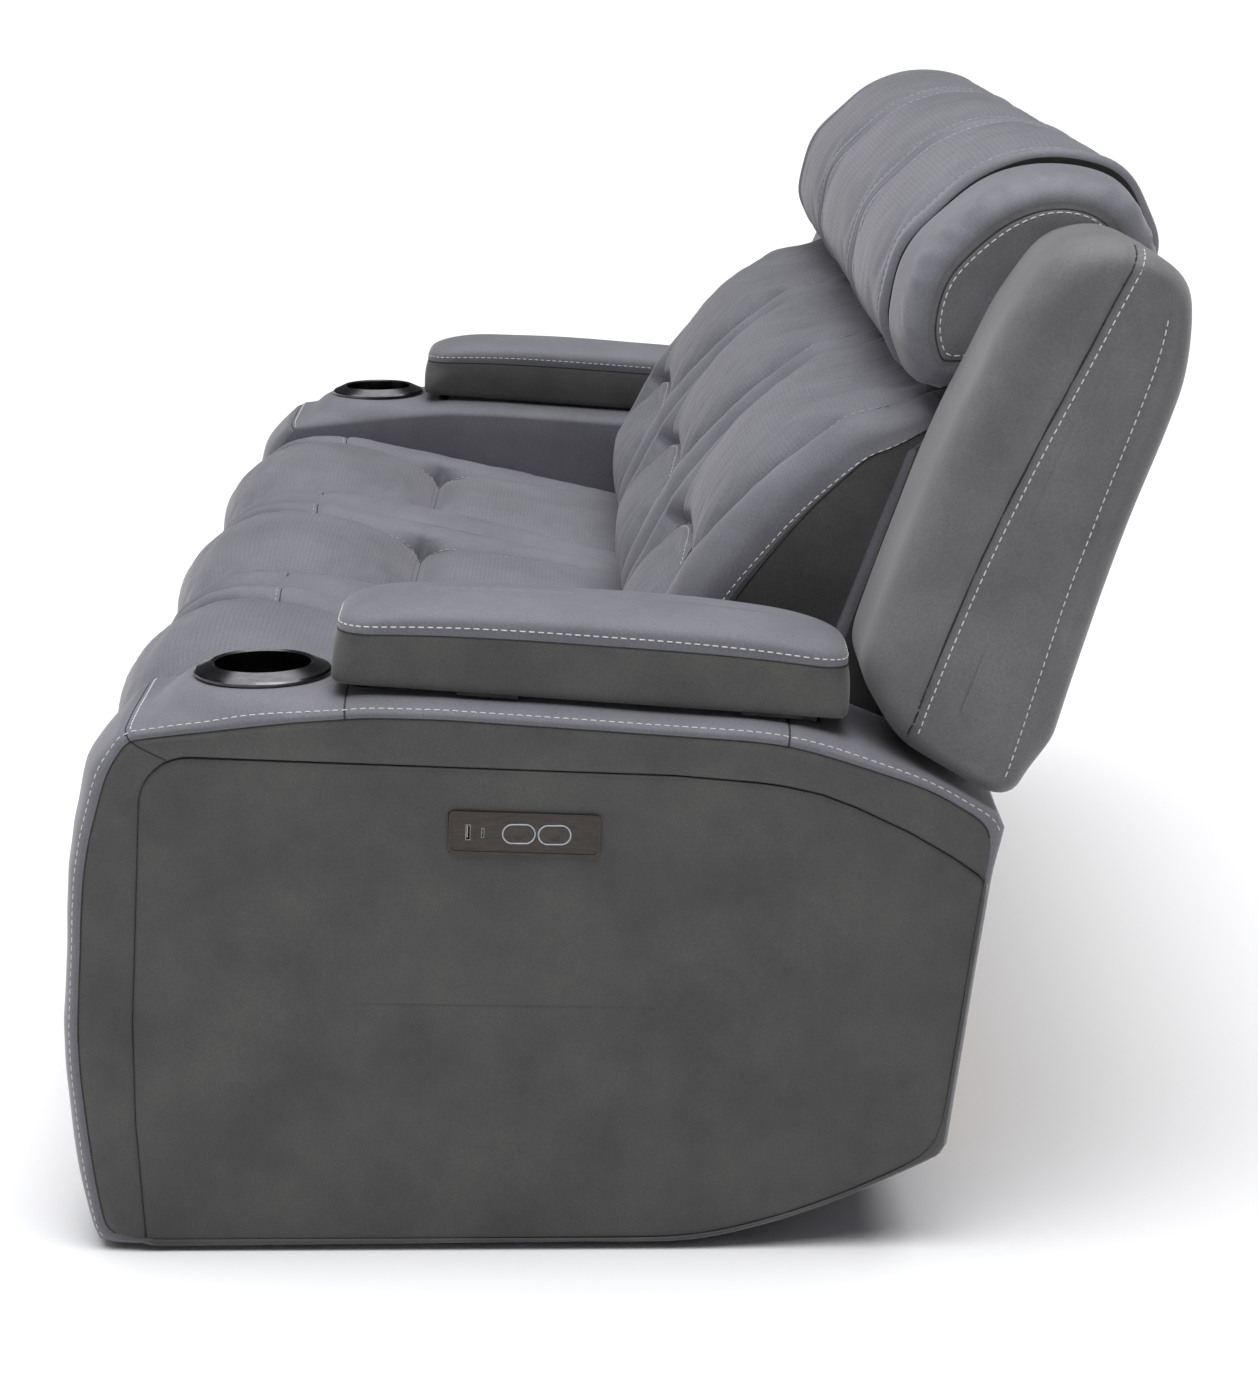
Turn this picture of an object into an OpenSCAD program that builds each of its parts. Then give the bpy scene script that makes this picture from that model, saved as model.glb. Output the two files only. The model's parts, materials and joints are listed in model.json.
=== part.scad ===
// Three-seat power reclining sofa: fixed middle seat, two reclining end seats,
// storage arms with cup holders and side control plates.
// X runs along the sofa, +Y is the back, +Z is up. The origin is on the floor,
// under the middle of the overall box. All sizes are in millimetres.

/* [Seats] */
// Width of one seat place
seat_pitch = 534; // [500:1:580]
// Clear gap on each side of a seat's moving pieces
seat_gap = 2; // [1:0.5:4]

/* [Arms] */
// Width of one arm
arm_w = 224; // [210:1:250]
// Thickness of foam and cover round the arm's timber
arm_padding = 22; // [18:1:26]
// Fall of the storage lid towards the back, in degrees
lid_slope = 4.3; // [3:0.1:5]

/* [Cup holder] */
// Outer diameter of the cup holder's ring
cup_ring_d = 138; // [120:1:142]
// Diameter of the hole a cup goes into
cup_hole_d = 97; // [80:1:102]
// Depth of the cup
cup_depth = 72; // [60:1:80]

/* [Control plate] */
// Length of the control plate
plate_l = 149; // [140:1:155]
// Height of the control plate
plate_h = 43; // [40:1:46]
// Length of one push button
button_l = 30; // [26:1:32]
// Height of one push button
button_h = 17; // [14:1:18]
// Clear gap round a button
button_gap = 0.4; // [0.3:0.1:0.6]

/* [Mechanism] */
// Width of the steel link bars
link_w = 24; // [20:1:26]
// Thickness of the steel plates and links
steel_t = 5; // [4:0.5:5]
// Radius of the link pins
pin_r = 5; // [4:0.5:6]
// Radial running clearance of every pin
pin_fit = 0.08; // [0.05:0.01:0.1]
// Radius of the back's pivot pin
back_pin_r = 8; // [7:0.5:9]

/* [Hidden] */
$fn = 48;
seat_w = seat_pitch - 2 * seat_gap;          // width of a seat's soft pieces
arm_x0 = 1.5 * seat_pitch;                   // inner face of the right arm
arm_x1 = arm_x0 + arm_w;                     // outer face of the right arm
arm_mid = (arm_x0 + arm_x1) / 2;

// Side outlines: [Y, Z, corner radius], the sofa seen from its right end.
ARM = [[-526, 4, 6], [-554, 235, 600], [-541, 420, 400], [-486, 543, 14], [-245, 569, 800],
       [167, 538, 300], [308, 491, 200], [381, 446, 8], [368, 395, 60], [328, 99, 14],
       [200, 38, 350], [80, 4, 250]];
ARM_CROWN = [[-476, 430, 10], [-476, 552, 16], [-430, 567, 60], [-245, 578, 600],
             [167, 550, 300], [285, 511, 30], [285, 430, 10]];
SIDE_PANEL = [[-481, 5, 3], [-491, 190, 900], [-470, 520, 50], [96, 497, 800],
              [198, 482, 250], [309, 428, 300], [363, 389, 5], [324, 102, 14],
              [198, 42, 350], [80, 9, 250]];
SEAT = [[-484, 392, 4], [-528, 392, 30], [-540, 470, 60], [-470, 527, 110], [-380, 525, 200],
        [-250, 502, 300], [20, 441, 150], [165, 422, 20], [165, 374, 6], [-482, 374, 2]];
BACK = [[22, 447, 22], [-4, 522, 60], [60, 650, 200], [150, 752, 200], [235, 822, 60],
        [318, 838, 20], [406, 838, 4], [272, 447, 4]];
WING = [[279, 524, 10], [240, 590, 25], [303, 768, 400], [378, 940, 200], [425, 1005, 40],
        [475, 1012, 30], [546, 975, 30], [533, 902, 200], [452, 674, 300], [391, 466, 8],
        [370, 468, 8]];
HEADREST = [[302, 853, 10], [280, 900, 40], [296, 985, 90], [370, 1062, 110], [440, 1092, 110],
            [520, 1066, 60], [551, 985, 60], [534, 912, 20], [380, 853, 10]];
END_BAND = [[308, 851, 6], [288, 900, 40], [302, 975, 90], [372, 1040, 110], [440, 1062, 110],
            [505, 1040, 60], [530, 990, 60], [526, 912, 10], [380, 853, 6]];
BACK_PANEL = [[288, 240, 2], [300, 238, 2], [394, 466, 60], [535, 898, 4], [523, 902, 4],
              [382, 470, 60]];
STILE = [[284, 300, 3], [284, 450, 20], [424, 860, 3], [510, 889, 3], [377, 470, 60],
         [309, 300, 3]];
LEGREST_PAD = [[-506, 72, 8], [-534, 76, 20], [-549, 130, 60], [-549, 326, 60], [-534, 378, 20],
               [-506, 380, 8]];
PIVOT_PLATE = [[238, 206, 14], [238, 262, 14], [296, 400, 10], [336, 400, 10], [292, 270, 14],
               [284, 206, 14]];

// Joint axes, in the side view
BACK_PIVOT = [262, 230];
HEAD_PIVOT = [322, 856];
LINK_A = [-370, 300];                        // rear link to seat frame
LINK_B = [-335, 103];                        // knee, folded down at rest
LINK_C = [-474, 235];                        // front link to legrest board

// Sideways places, measured from a seat's centre line
plate_u = 236;                               // inner face of the frame's side plates
rear_link_u = plate_u - steel_t - 1;
front_link_u = rear_link_u - steel_t - 1;
bracket_u = front_link_u - steel_t - 1;
rail_u = plate_u + steel_t + 2;              // inner face of the fixed rails

// Storage lid: its hinge line lies along the arm's outer edge
LID_ORIGIN = [arm_x1 - 28, 0, 572];
lid_w = 163;
lid_y0 = -283;
lid_y1 = 226;
lid_board_t = 10;
HINGE_Y = [-160, 120];                       // front ends of the two butt hinges
hinge_l = 60;
lid_pad_h = 76;

// Control plate centre on the arm's outer face
PLATE_AT = [arm_x1, -94.5, 439];
plate_tilt = -2;
BUTTON_Y = [-5.5, 29.5];

RIGHT_LEFT = ["_r", "_l"];
PAIRED = ["arm_cover", "arm_side_panel", "cup_holder", "control_plate", "lid_board", "lid_pad",
          "button_front", "button_rear", "seat_frame", "seat_cushion", "link_rear",
          "link_front", "legrest_board", "legrest_pad", "back_frame", "back_cushion", "wing",
          "back_panel", "headrest_frame", "headrest_cushion", "headrest_actuator",
          "drive_block"];
SINGLE = ["arm_frames", "storage_bins", "usb_sockets", "lid_hinges", "front_rail", "rear_rail",
          "base_rails", "drive_motors", "glides", "mid_seat_frame", "mid_seat_cushion",
          "mid_front_pad", "mid_back_frame", "mid_back_cushion", "mid_headrest",
          "mid_back_panel"];

leather = [0.44, 0.45, 0.49];
leather_dark = [0.34, 0.35, 0.36];
timber = [0.76, 0.62, 0.42];
steel = [0.32, 0.33, 0.35];
dark_plastic = [0.08, 0.08, 0.09];
bronze = [0.24, 0.21, 0.19];

// ---- outline helpers ----

function unit(v) = v / norm(v);

// Signed turn from direction a to direction b, between -180 and 180 degrees
function turn(a, b) = let (d = b - a) d > 180 ? d - 360 : d < -180 ? d + 360 : d;

// The points of one rounded corner at p, between its neighbours
function corner(before, p, after, r) =
    let (a = unit(before - p), b = unit(after - p),
         half = acos(max(-1, min(1, a * b))) / 2,
         c = p + unit(a + b) * r / sin(half),
         from = p + a * r / tan(half) - c,
         to = p + b * r / tan(half) - c,
         a0 = atan2(from[1], from[0]),
         sweep = turn(a0, atan2(to[1], to[0])),
         steps = max(1, ceil(abs(sweep) / 10)))
    [for (k = [0:steps]) c + r * [cos(a0 + sweep * k / steps), sin(a0 + sweep * k / steps)]];

// A closed outline from [y, z, radius] corners
function rounded(v) =
    let (n = len(v))
    [for (i = [0:n - 1])
        let (p = [v[i][0], v[i][1]], q = v[(i + n - 1) % n], s = v[(i + 1) % n])
        each corner([q[0], q[1]], p, [s[0], s[1]], v[i][2])];

// The same corners moved inwards by d; the outline runs clockwise in the side view
function inset(v, d) =
    let (n = len(v))
    [for (i = [0:n - 1])
        let (p = [v[i][0], v[i][1]],
             q = v[(i + n - 1) % n], s = v[(i + 1) % n],
             e0 = unit(p - [q[0], q[1]]), e1 = unit([s[0], s[1]] - p),
             n0 = [e0[1], -e0[0]], n1 = [e1[1], -e1[0]],
             m = p + d * (n0 + n1) / (1 + n0 * n1))
        [m[0], m[1], max(1, v[i][2] - d)]];

// A bar along X, from x0 to x1, with the given side outline
module slab(x0, x1, outline) {
    translate([x0, 0, 0]) rotate([90, 0, 90])
        linear_extrude(x1 - x0) polygon(outline);
}

// A straight pin or hole along X through the side-view point p
module pin(x0, x1, p, r) {
    translate([x0, p[0], p[1]]) rotate([0, 90, 0]) cylinder(h = x1 - x0, r = r);
}

module box(low, high) {
    translate(low) cube(high - low);
}

// A flat bar between two side-view points, with a round eye at each end and a bore in the first
module bar(x0, x1, p, q, w, bore_r) {
    neck = 0.8 * w;
    d = q - p;
    difference() {
        translate([x0, p[0], p[1]]) rotate([90, 0, 90]) linear_extrude(x1 - x0) union() {
            circle(w / 2);
            translate(d) circle(w / 2);
            rotate(atan2(d[1], d[0])) translate([0, -neck / 2]) square([norm(d), neck]);
        }
        pin(x0 - 1, x1 + 1, p, bore_r);
    }
}

module both_sides() {
    children();
    mirror([1, 0, 0]) children();
}

module end_seat() {
    translate([seat_pitch, 0, 0]) children();
}

// Places its children in the storage lid's own frame: X outwards, Y along the arm, Z up
module lid_frame() {
    translate(LID_ORIGIN) rotate([-lid_slope, 0, 0]) children();
}

// Places its children on the arm's outer face: X outwards, Y rearwards, Z up
module plate_frame() {
    translate(PLATE_AT) rotate([plate_tilt, 0, 0]) children();
}

// A rounded plate standing on the outer face, between depths x0 and x1
module plate_slab(x0, x1, l, h, r, y = 0) {
    translate([x0, y, 0]) rotate([90, 0, 90]) linear_extrude(x1 - x0) union() {
        square([l - 2 * r, h], center = true);
        square([l, h - 2 * r], center = true);
        for (sy = [-1, 1], sz = [-1, 1]) translate([sy * (l / 2 - r), sz * (h / 2 - r)]) circle(r);
    }
}

module obround_slab(x0, x1, l, h, y) {
    translate([x0, y, 0]) rotate([90, 0, 90]) linear_extrude(x1 - x0) union() {
        square([l - h, h], center = true);
        for (s = [-1, 1]) translate([s * (l - h) / 2, 0]) circle(h / 2);
    }
}

// ---- arms ----

module bin_pocket(clear) {
    lid_frame() box([-152 - clear, -246 - clear, -130 - clear], [-22 + clear, 196 + clear, 20]);
}

module cup_pocket(r) {
    translate([arm_mid, -358, 470]) cylinder(h = 130, r = r);
}

// Foam and cover round the arm: an upholstered casing, open below
module arm_cover() {
    color(leather) difference() {
        union() {
            slab(arm_x0 + 1, arm_x1, rounded(ARM));
            slab(arm_x0 + 26, arm_x1 - 28, rounded(ARM_CROWN));
        }
        slab(arm_x0 + 13, arm_x1 - arm_padding, rounded(inset(ARM, arm_padding)));
        box([arm_x0 + 13, -480, -1], [arm_x1 - arm_padding, 90, 60]);
        bin_pocket(1);
        cup_pocket(cup_hole_d / 2 + 6);
        for (y = HINGE_Y) lid_frame() box([-21, y - 1, -12], [2, y + hinge_l + 1, 9]);
        slab(arm_x1 - 8, arm_x1 + 1, rounded(inset(SIDE_PANEL, -0.5)));
        plate_frame() plate_slab(-40, 1, plate_l - 6, plate_h - 4, 5);
    }
}

// The padded outer panel, set into the border of the casing
module arm_side_panel() {
    color(leather_dark) difference() {
        slab(arm_x1 - 8, arm_x1 - 1, rounded(SIDE_PANEL));
        plate_frame() plate_slab(-12, 1, plate_l - 6, plate_h - 4, 5);
    }
}

// Plywood side boards, rails and blocks inside one arm
module arm_frame() {
    inner = arm_x0 + 13;
    outer = arm_x1 - arm_padding;
    outline = rounded(inset(ARM, arm_padding));
    color(timber) difference() {
        union() {
            slab(inner, inner + 15, outline);
            slab(outer - 15, outer, outline);
            box([inner, -500, 60], [outer, -480, 440]);
            box([inner, -440, 30], [outer, -400, 60]);
            box([inner, 20, 30], [outer, 60, 60]);
            box([inner, 270, 130], [outer, 290, 400]);
        }
        bin_pocket(1);
        cup_pocket(cup_hole_d / 2 + 6);
        plate_frame() plate_slab(-40, 1, plate_l - 6, plate_h - 4, 5);
    }
}

module arm_frames() {
    both_sides() arm_frame();
}

// Moulded tray under each storage lid
module storage_bin() {
    color(dark_plastic) difference() {
        bin_pocket(0);
        lid_frame() box([-149, -243, -127], [-25, 193, 40]);
        lid_frame() box([-200, -300, -10], [10, 300, 60]);
    }
}

module storage_bins() {
    both_sides() storage_bin();
}

// Spun metal ring and cup, in one piece
module cup_holder() {
    ring = cup_ring_d / 2;
    hole = cup_hole_d / 2;
    color(steel) translate([arm_mid, -358, 579.5]) rotate_extrude($fn = 96)
        polygon([[hole - 10, 3 - cup_depth], [hole - 10, -40], [hole - 3, -34], [hole, 7],
                 [hole + 4, 8.5], [ring - 2, 2], [ring, 0], [ring, -3], [hole + 3, -3],
                 [hole + 3, -40], [hole - 6, -44], [hole - 6, -cup_depth],
                 [0, -cup_depth], [0, 3 - cup_depth]]);
}

module lid_board() {
    color(timber) lid_frame() difference() {
        box([-lid_w + 6, lid_y0 + 6, -8], [-4, lid_y1 - 6, lid_board_t - 8]);
        for (y = HINGE_Y) box([-30, y - 0.5, -9], [1, y + hinge_l + 0.5, -5]);
    }
}

// Padded arm rest on the lid, crowned across its width
module lid_pad() {
    half = lid_w / 2;
    crown_r = 190;
    color(leather) lid_frame() translate([-half, lid_y1, 0]) rotate([90, 0, 0])
        linear_extrude(lid_y1 - lid_y0) intersection() {
            polygon([[-half, 2.5], [-half, 48], [-half + 10, 60], [-half + 22, 90],
                     [half - 22, 90], [half - 10, 60], [half, 48], [half, 2.5]]);
            translate([0, lid_pad_h - crown_r]) circle(crown_r, $fn = 96);
        }
}

// Butt hinges of both lids: the fixed leaf and its pin
module lid_hinge_pair() {
    for (y = HINGE_Y) lid_frame() {
        translate([0, y, 0]) rotate([-90, 0, 0]) cylinder(h = hinge_l, r = 1.5);
        box([-1, y, -9], [1, y + hinge_l, -0.5]);
        box([-20, y, -10.9], [1, y + hinge_l, -9]);
    }
}

module lid_hinges() {
    color(steel) both_sides() lid_hinge_pair();
}

// ---- control plates ----

module usb_openings(clear) {
    box([-20, -58 - clear, -8 - clear], [4, -53 + clear, 8 + clear]);
    box([-20, -42.5 - clear, -5 - clear], [4, -39.5 + clear, 5 + clear]);
}

module control_plate() {
    color(bronze) plate_frame() difference() {
        union() {
            plate_slab(-1, 1.6, plate_l, plate_h, 5);
            plate_slab(-32, -1, plate_l - 10, plate_h - 8, 4);
        }
        plate_slab(0.6, 2, plate_l - 5, plate_h - 5, 4);
        plate_slab(-30, -4, plate_l - 14, plate_h - 12, 3);
        for (y = BUTTON_Y)
            obround_slab(-8, 3, button_l + 2 * button_gap, button_h + 2 * button_gap, y);
        usb_openings(0);
    }
}

// Two charging sockets behind each plate: a metal shell and its tongue
module usb_socket_pair() {
    color("silver") plate_frame() {
        difference() {
            box([-18, -58, -8], [0.4, -53, 8]);
            box([-14, -57.4, -7.2], [1, -53.6, 7.2]);
        }
        box([-15, -57, -6], [-2, -55.6, 6]);
        difference() {
            box([-18, -42.5, -5], [0.4, -39.5, 5]);
            box([-14, -42, -4.4], [1, -40, 4.4]);
        }
        box([-15, -41.2, -3.4], [-2, -40.8, 3.4]);
    }
}

module usb_sockets() {
    both_sides() usb_socket_pair();
}

module button(y) {
    color(bronze) plate_frame() difference() {
        union() {
            obround_slab(-6, 0.9, button_l, button_h, y);
            translate([-26, y, 0]) rotate([0, 90, 0]) cylinder(h = 21, r = 3);
        }
        translate([44, y, 0]) sphere(r = 43.6, $fn = 96);
    }
}

module button_front() {
    button(BUTTON_Y[0]);
}

module button_rear() {
    button(BUTTON_Y[1]);
}

// ---- base ----

module front_rail() {
    color(timber) box([-arm_x0, -470, 20], [arm_x0, -450, 90]);
}

module rear_rail() {
    color(timber) box([-arm_x0, 284, 40], [arm_x0, 304, 190]);
}

// Steel side rails, posts and cross tubes of one recliner base
module recliner_base() {
    color(steel) {
        for (s = [0, 1]) mirror([s, 0, 0]) {
            box([rail_u, -440, 255], [rail_u + 6, 284, 285]);
            box([rail_u, -449, 20], [rail_u + 6, -425, 285]);
            box([rail_u, 232, 40], [rail_u + 6, 284, 285]);
            pin(plate_u - 4, rail_u + 3, BACK_PIVOT, back_pin_r);
        }
        pin(-rail_u - 3, rail_u + 3, [-437, 50], 9);
        pin(-rail_u - 3, rail_u + 3, [262, 110], 9);
    }
}

module base_rails() {
    both_sides() end_seat() recliner_base();
}

// Motor, gearbox and guide rail of one recliner drive
module drive_motor() {
    color(dark_plastic) {
        difference() {
            box([-30, 196, 92], [30, 250, 160]);
            pin(-31, 31, [262, 110], 9.5);
        }
        translate([0, 223, 160]) cylinder(h = 68, r = 26);
        box([-11, -190, 122], [11, 196, 138]);
        box([-20, -206, 112], [20, -190, 148]);
    }
}

module drive_motors() {
    both_sides() end_seat() drive_motor();
}

// The block that the motor's screw pushes along the guide rail
module drive_block() {
    color(steel) end_seat() difference() {
        union() {
            box([-24, 120, 110], [24, 170, 150]);
            box([-12, 132, 150], [12, 158, 172]);
        }
        box([-11.6, 119, 121.4], [11.6, 171, 138.6]);
        pin(-30, 30, [145, 162], 5);
    }
}

module glide(x, y, top) {
    translate([x, y, 0]) cylinder(h = top * 0.6, r1 = 17, r2 = 19);
    translate([x, y, top * 0.6]) cylinder(h = top * 0.4, r = 19);
}

// Floor glides: two inside each arm's open base and two taller feet under each half of the rear rail
module glides() {
    color(dark_plastic) both_sides() {
        for (y = [-420, 40]) glide(arm_mid, y, 30);
        for (x = [seat_pitch / 2, arm_x0 - 40]) glide(x, 294, 40);
    }
}

// ---- seats ----

// Sinuous spring: a flat serpentine band from front to rear
module sinuous_spring(y0, y1, waves) {
    steps = waves * 12;
    swing = 22;
    half = 2;
    mid = [for (i = [0:steps]) [swing * sin(360 * waves * i / steps), y0 + (y1 - y0) * i / steps]];
    side = [for (i = [0:steps])
        let (d = unit(mid[min(i + 1, steps)] - mid[max(i - 1, 0)])) [-d[1], d[0]] * half];
    linear_extrude(4) polygon(concat([for (i = [0:steps]) mid[i] + side[i]],
                                     [for (i = [steps:-1:0]) mid[i] - side[i]]));
}

// Steel side plates, timber cross rails and springs of one moving seat
module seat_frame_shape() {
    for (s = [0, 1]) mirror([s, 0, 0]) difference() {
        union() {
            box([plate_u, -478, 285], [plate_u + steel_t, 160, 372]);
            box([plate_u, -400, 240], [plate_u + steel_t, 150, 290]);
            for (y = [-360, 110]) {
                pin(plate_u, rail_u + 7, [y, 297], 11);
                pin(plate_u, rail_u + 7, [y, 244], 9);
            }
            pin(rear_link_u - 0.5, plate_u + 1, LINK_A, pin_r);
        }
    }
    box([-plate_u, -478, 312], [plate_u, -456, 372]);
    box([-plate_u, 130, 312], [plate_u, 152, 372]);
    for (u = [-165:110:165]) translate([u, 0, 355]) sinuous_spring(-457, 131, 8);
}

module seat_frame() {
    color(timber) end_seat() seat_frame_shape();
}

module seat_cushion() {
    color(leather) end_seat() slab(-seat_w / 2, seat_w / 2, rounded(SEAT));
}

module mid_seat_frame() {
    color(timber) {
        for (s = [-1, 1]) translate([s * 247, 0, 0])
            box([-11, -449, 90], [11, 284, 372]);
        box([-236, -478, 312], [236, -456, 372]);
        box([-236, 130, 312], [236, 152, 372]);
        for (s = [-1, 1]) translate([s * 247, 0, 0]) box([-11, -478, 312], [11, -449, 372]);
        for (u = [-165:110:165]) translate([u, 0, 355]) sinuous_spring(-457, 131, 8);
    }
}

module mid_seat_cushion() {
    color(leather) slab(-seat_w / 2, seat_w / 2, rounded(SEAT));
}

// ---- legrests ----

module link_rear() {
    color(steel) end_seat() for (s = [0, 1]) mirror([s, 0, 0]) {
        bar(rear_link_u, rear_link_u + steel_t, LINK_A, LINK_B, link_w, pin_r + pin_fit);
        pin(front_link_u - 0.5, rear_link_u + 1, LINK_B, pin_r);
    }
}

module link_front() {
    color(steel) end_seat() for (s = [0, 1]) mirror([s, 0, 0]) {
        bar(front_link_u, front_link_u + steel_t, LINK_B, LINK_C, link_w, pin_r + pin_fit);
        pin(bracket_u - 0.5, front_link_u + 1, LINK_C, pin_r);
    }
}

// Plywood board with its two steel brackets
module legrest_board() {
    color(timber) end_seat() {
        box([-245, -505, 80], [245, -491, 374]);
        for (s = [0, 1]) mirror([s, 0, 0]) difference() {
            box([bracket_u, -491, 205], [bracket_u + steel_t, -460, 265]);
            pin(bracket_u - 1, bracket_u + steel_t + 1, LINK_C, pin_r + pin_fit);
        }
    }
}

module legrest_pad() {
    color(leather) end_seat() slab(-seat_w / 2, seat_w / 2, rounded(LEGREST_PAD));
}

module mid_front_pad() {
    color(leather) slab(-seat_w / 2, seat_w / 2, rounded(LEGREST_PAD));
}

// ---- backs ----

module back_frame_shape() {
    for (s = [0, 1]) mirror([s, 0, 0]) slab(plate_u, plate_u + 22, rounded(STILE));
    box([-plate_u, 288, 340], [plate_u, 306, 420]);
    box([-plate_u, 395, 620], [plate_u, 413, 690]);
    box([-plate_u, 440, 800], [plate_u, 458, 850]);
}

// Timber stiles and cross rails on two steel pivot plates
module back_frame() {
    color(timber) end_seat() {
        back_frame_shape();
        for (s = [0, 1]) mirror([s, 0, 0]) difference() {
            slab(plate_u, plate_u + steel_t, rounded(PIVOT_PLATE));
            pin(plate_u - 1, plate_u + steel_t + 1, BACK_PIVOT, back_pin_r + pin_fit);
        }
    }
}

module back_cushion() {
    color(leather) end_seat() slab(-seat_w / 2, seat_w / 2, rounded(BACK));
}

// Outer side bolster of the back, with the fixed end of the head roll
module wing() {
    color(leather) {
        slab(arm_x0 + 2, arm_x1 - 25, rounded(WING));
        slab(arm_x0 - 85, arm_x0 + 30, rounded(END_BAND));
    }
}

module back_panel() {
    color(leather_dark) end_seat() slab(-seat_w / 2, seat_w / 2, rounded(BACK_PANEL));
}

module mid_back_frame() {
    color(timber) back_frame_shape();
}

module mid_back_cushion() {
    color(leather) slab(-seat_w / 2, seat_w / 2, rounded(BACK));
}

module mid_back_panel() {
    color(leather_dark) slab(-seat_w / 2, seat_w / 2, rounded(BACK_PANEL));
}

// ---- headrests ----

head_half = 216;                             // half the width of the moving head roll
head_u = -seat_w / 2 + head_half;            // its centre, from the seat's centre line

module headrest_cushion() {
    color(leather) end_seat() translate([head_u, 0, 0]) difference() {
        slab(-head_half, head_half, rounded(HEADREST));
        for (s = [-1, 1]) box([s * 150 - 16, 300, 840], [s * 150 + 16, 352, 930]);
    }
}

module mid_headrest() {
    color(leather) slab(-seat_w / 2, seat_w / 2, rounded(HEADREST));
}

// Hinge plates of the head roll
module headrest_frame() {
    color(steel) end_seat() translate([head_u, 0, 0]) for (s = [-1, 1]) translate([s * 150, 0, 0])
        difference() {
            union() {
                box([-12, 330, 856], [-8, 350, 926]);
                pin(-12, -8, HEAD_PIVOT, 10);
                box([-12, 322, 852], [-8, 340, 866]);
            }
            pin(-13, -7, HEAD_PIVOT, 3 + pin_fit);
        }
}

// Linear actuator and hinge pins that tilt the head roll
module headrest_actuator() {
    color(dark_plastic) end_seat() translate([head_u, 0, 0]) {
        for (s = [-1, 1]) translate([s * 150, 0, 0]) {
            pin(-14, 2, HEAD_PIVOT, 3);
            box([-5, 316, 839], [2, 328, 862]);
        }
        box([-18, 418, 705], [18, 449, 799]);
    }
}

// ---- assembly ----

module paired(name) {
    if (name == "arm_cover") arm_cover();
    if (name == "arm_side_panel") arm_side_panel();
    if (name == "cup_holder") cup_holder();
    if (name == "control_plate") control_plate();
    if (name == "lid_board") lid_board();
    if (name == "lid_pad") lid_pad();
    if (name == "button_front") button_front();
    if (name == "button_rear") button_rear();
    if (name == "seat_frame") seat_frame();
    if (name == "seat_cushion") seat_cushion();
    if (name == "link_rear") link_rear();
    if (name == "link_front") link_front();
    if (name == "legrest_board") legrest_board();
    if (name == "legrest_pad") legrest_pad();
    if (name == "back_frame") back_frame();
    if (name == "back_cushion") back_cushion();
    if (name == "wing") wing();
    if (name == "back_panel") back_panel();
    if (name == "headrest_frame") headrest_frame();
    if (name == "headrest_cushion") headrest_cushion();
    if (name == "headrest_actuator") headrest_actuator();
    if (name == "drive_block") drive_block();
}

for (name = PAIRED) {
    paired(name);
    mirror([1, 0, 0]) paired(name);
}
arm_frames();
storage_bins();
usb_sockets();
lid_hinges();
front_rail();
rear_rail();
base_rails();
drive_motors();
glides();
mid_seat_frame();
mid_seat_cushion();
mid_front_pad();
mid_back_frame();
mid_back_cushion();
mid_headrest();
mid_back_panel();
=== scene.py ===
"""Looks of the three-seat power reclining sofa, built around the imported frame.

Metres; X runs along the sofa, +Y is the back, +Z is up. Upholstered pieces are skins: rings of
points taken from the side outline of a CAD node, one ring for each station along X.
"""
import json
import math
from contextlib import contextmanager

import bmesh
import bpy
import numpy as np
from mathutils import Euler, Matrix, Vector
from mathutils.bvhtree import BVHTree


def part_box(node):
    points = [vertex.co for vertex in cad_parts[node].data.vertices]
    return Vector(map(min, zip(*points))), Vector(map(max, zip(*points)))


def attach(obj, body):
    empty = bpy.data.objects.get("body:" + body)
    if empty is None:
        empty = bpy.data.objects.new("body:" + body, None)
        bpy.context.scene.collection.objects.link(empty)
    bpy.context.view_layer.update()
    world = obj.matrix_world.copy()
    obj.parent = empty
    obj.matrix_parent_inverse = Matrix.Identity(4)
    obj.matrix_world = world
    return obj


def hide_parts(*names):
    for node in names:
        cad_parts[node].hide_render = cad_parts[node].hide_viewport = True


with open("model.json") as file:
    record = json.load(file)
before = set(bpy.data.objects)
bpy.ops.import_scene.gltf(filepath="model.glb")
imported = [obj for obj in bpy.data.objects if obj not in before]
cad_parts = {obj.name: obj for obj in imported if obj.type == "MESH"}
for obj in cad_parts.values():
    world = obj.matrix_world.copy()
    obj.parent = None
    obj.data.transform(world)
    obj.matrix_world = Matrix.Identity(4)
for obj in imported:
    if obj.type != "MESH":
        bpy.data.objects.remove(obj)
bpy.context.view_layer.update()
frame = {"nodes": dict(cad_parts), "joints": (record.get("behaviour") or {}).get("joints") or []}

MM = 0.001
FINE = 5 * MM            # spacing of points where a skin shows
COARSE = 16 * MM         # and where it is hidden
STITCH_PITCH = 9 * MM
STITCH_LENGTH = 7 * MM
STITCH_R = 0.7 * MM
DENSE = 1200             # points of an outline before it is sampled
ROUND_RINGS = 6          # rings of points in the rounding at each end of a slab

# ---- places from the frame ----


def node_points(node, right=False):
    """A CAD node's points at rest, or only those on the right half of the sofa."""
    points = np.array([v.co for v in frame["nodes"][node].data.vertices], float)
    return points[points[:, 0] > 0] if right else points


def joint(name):
    return next(j for j in frame["joints"] if j["name"] == name)


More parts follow.
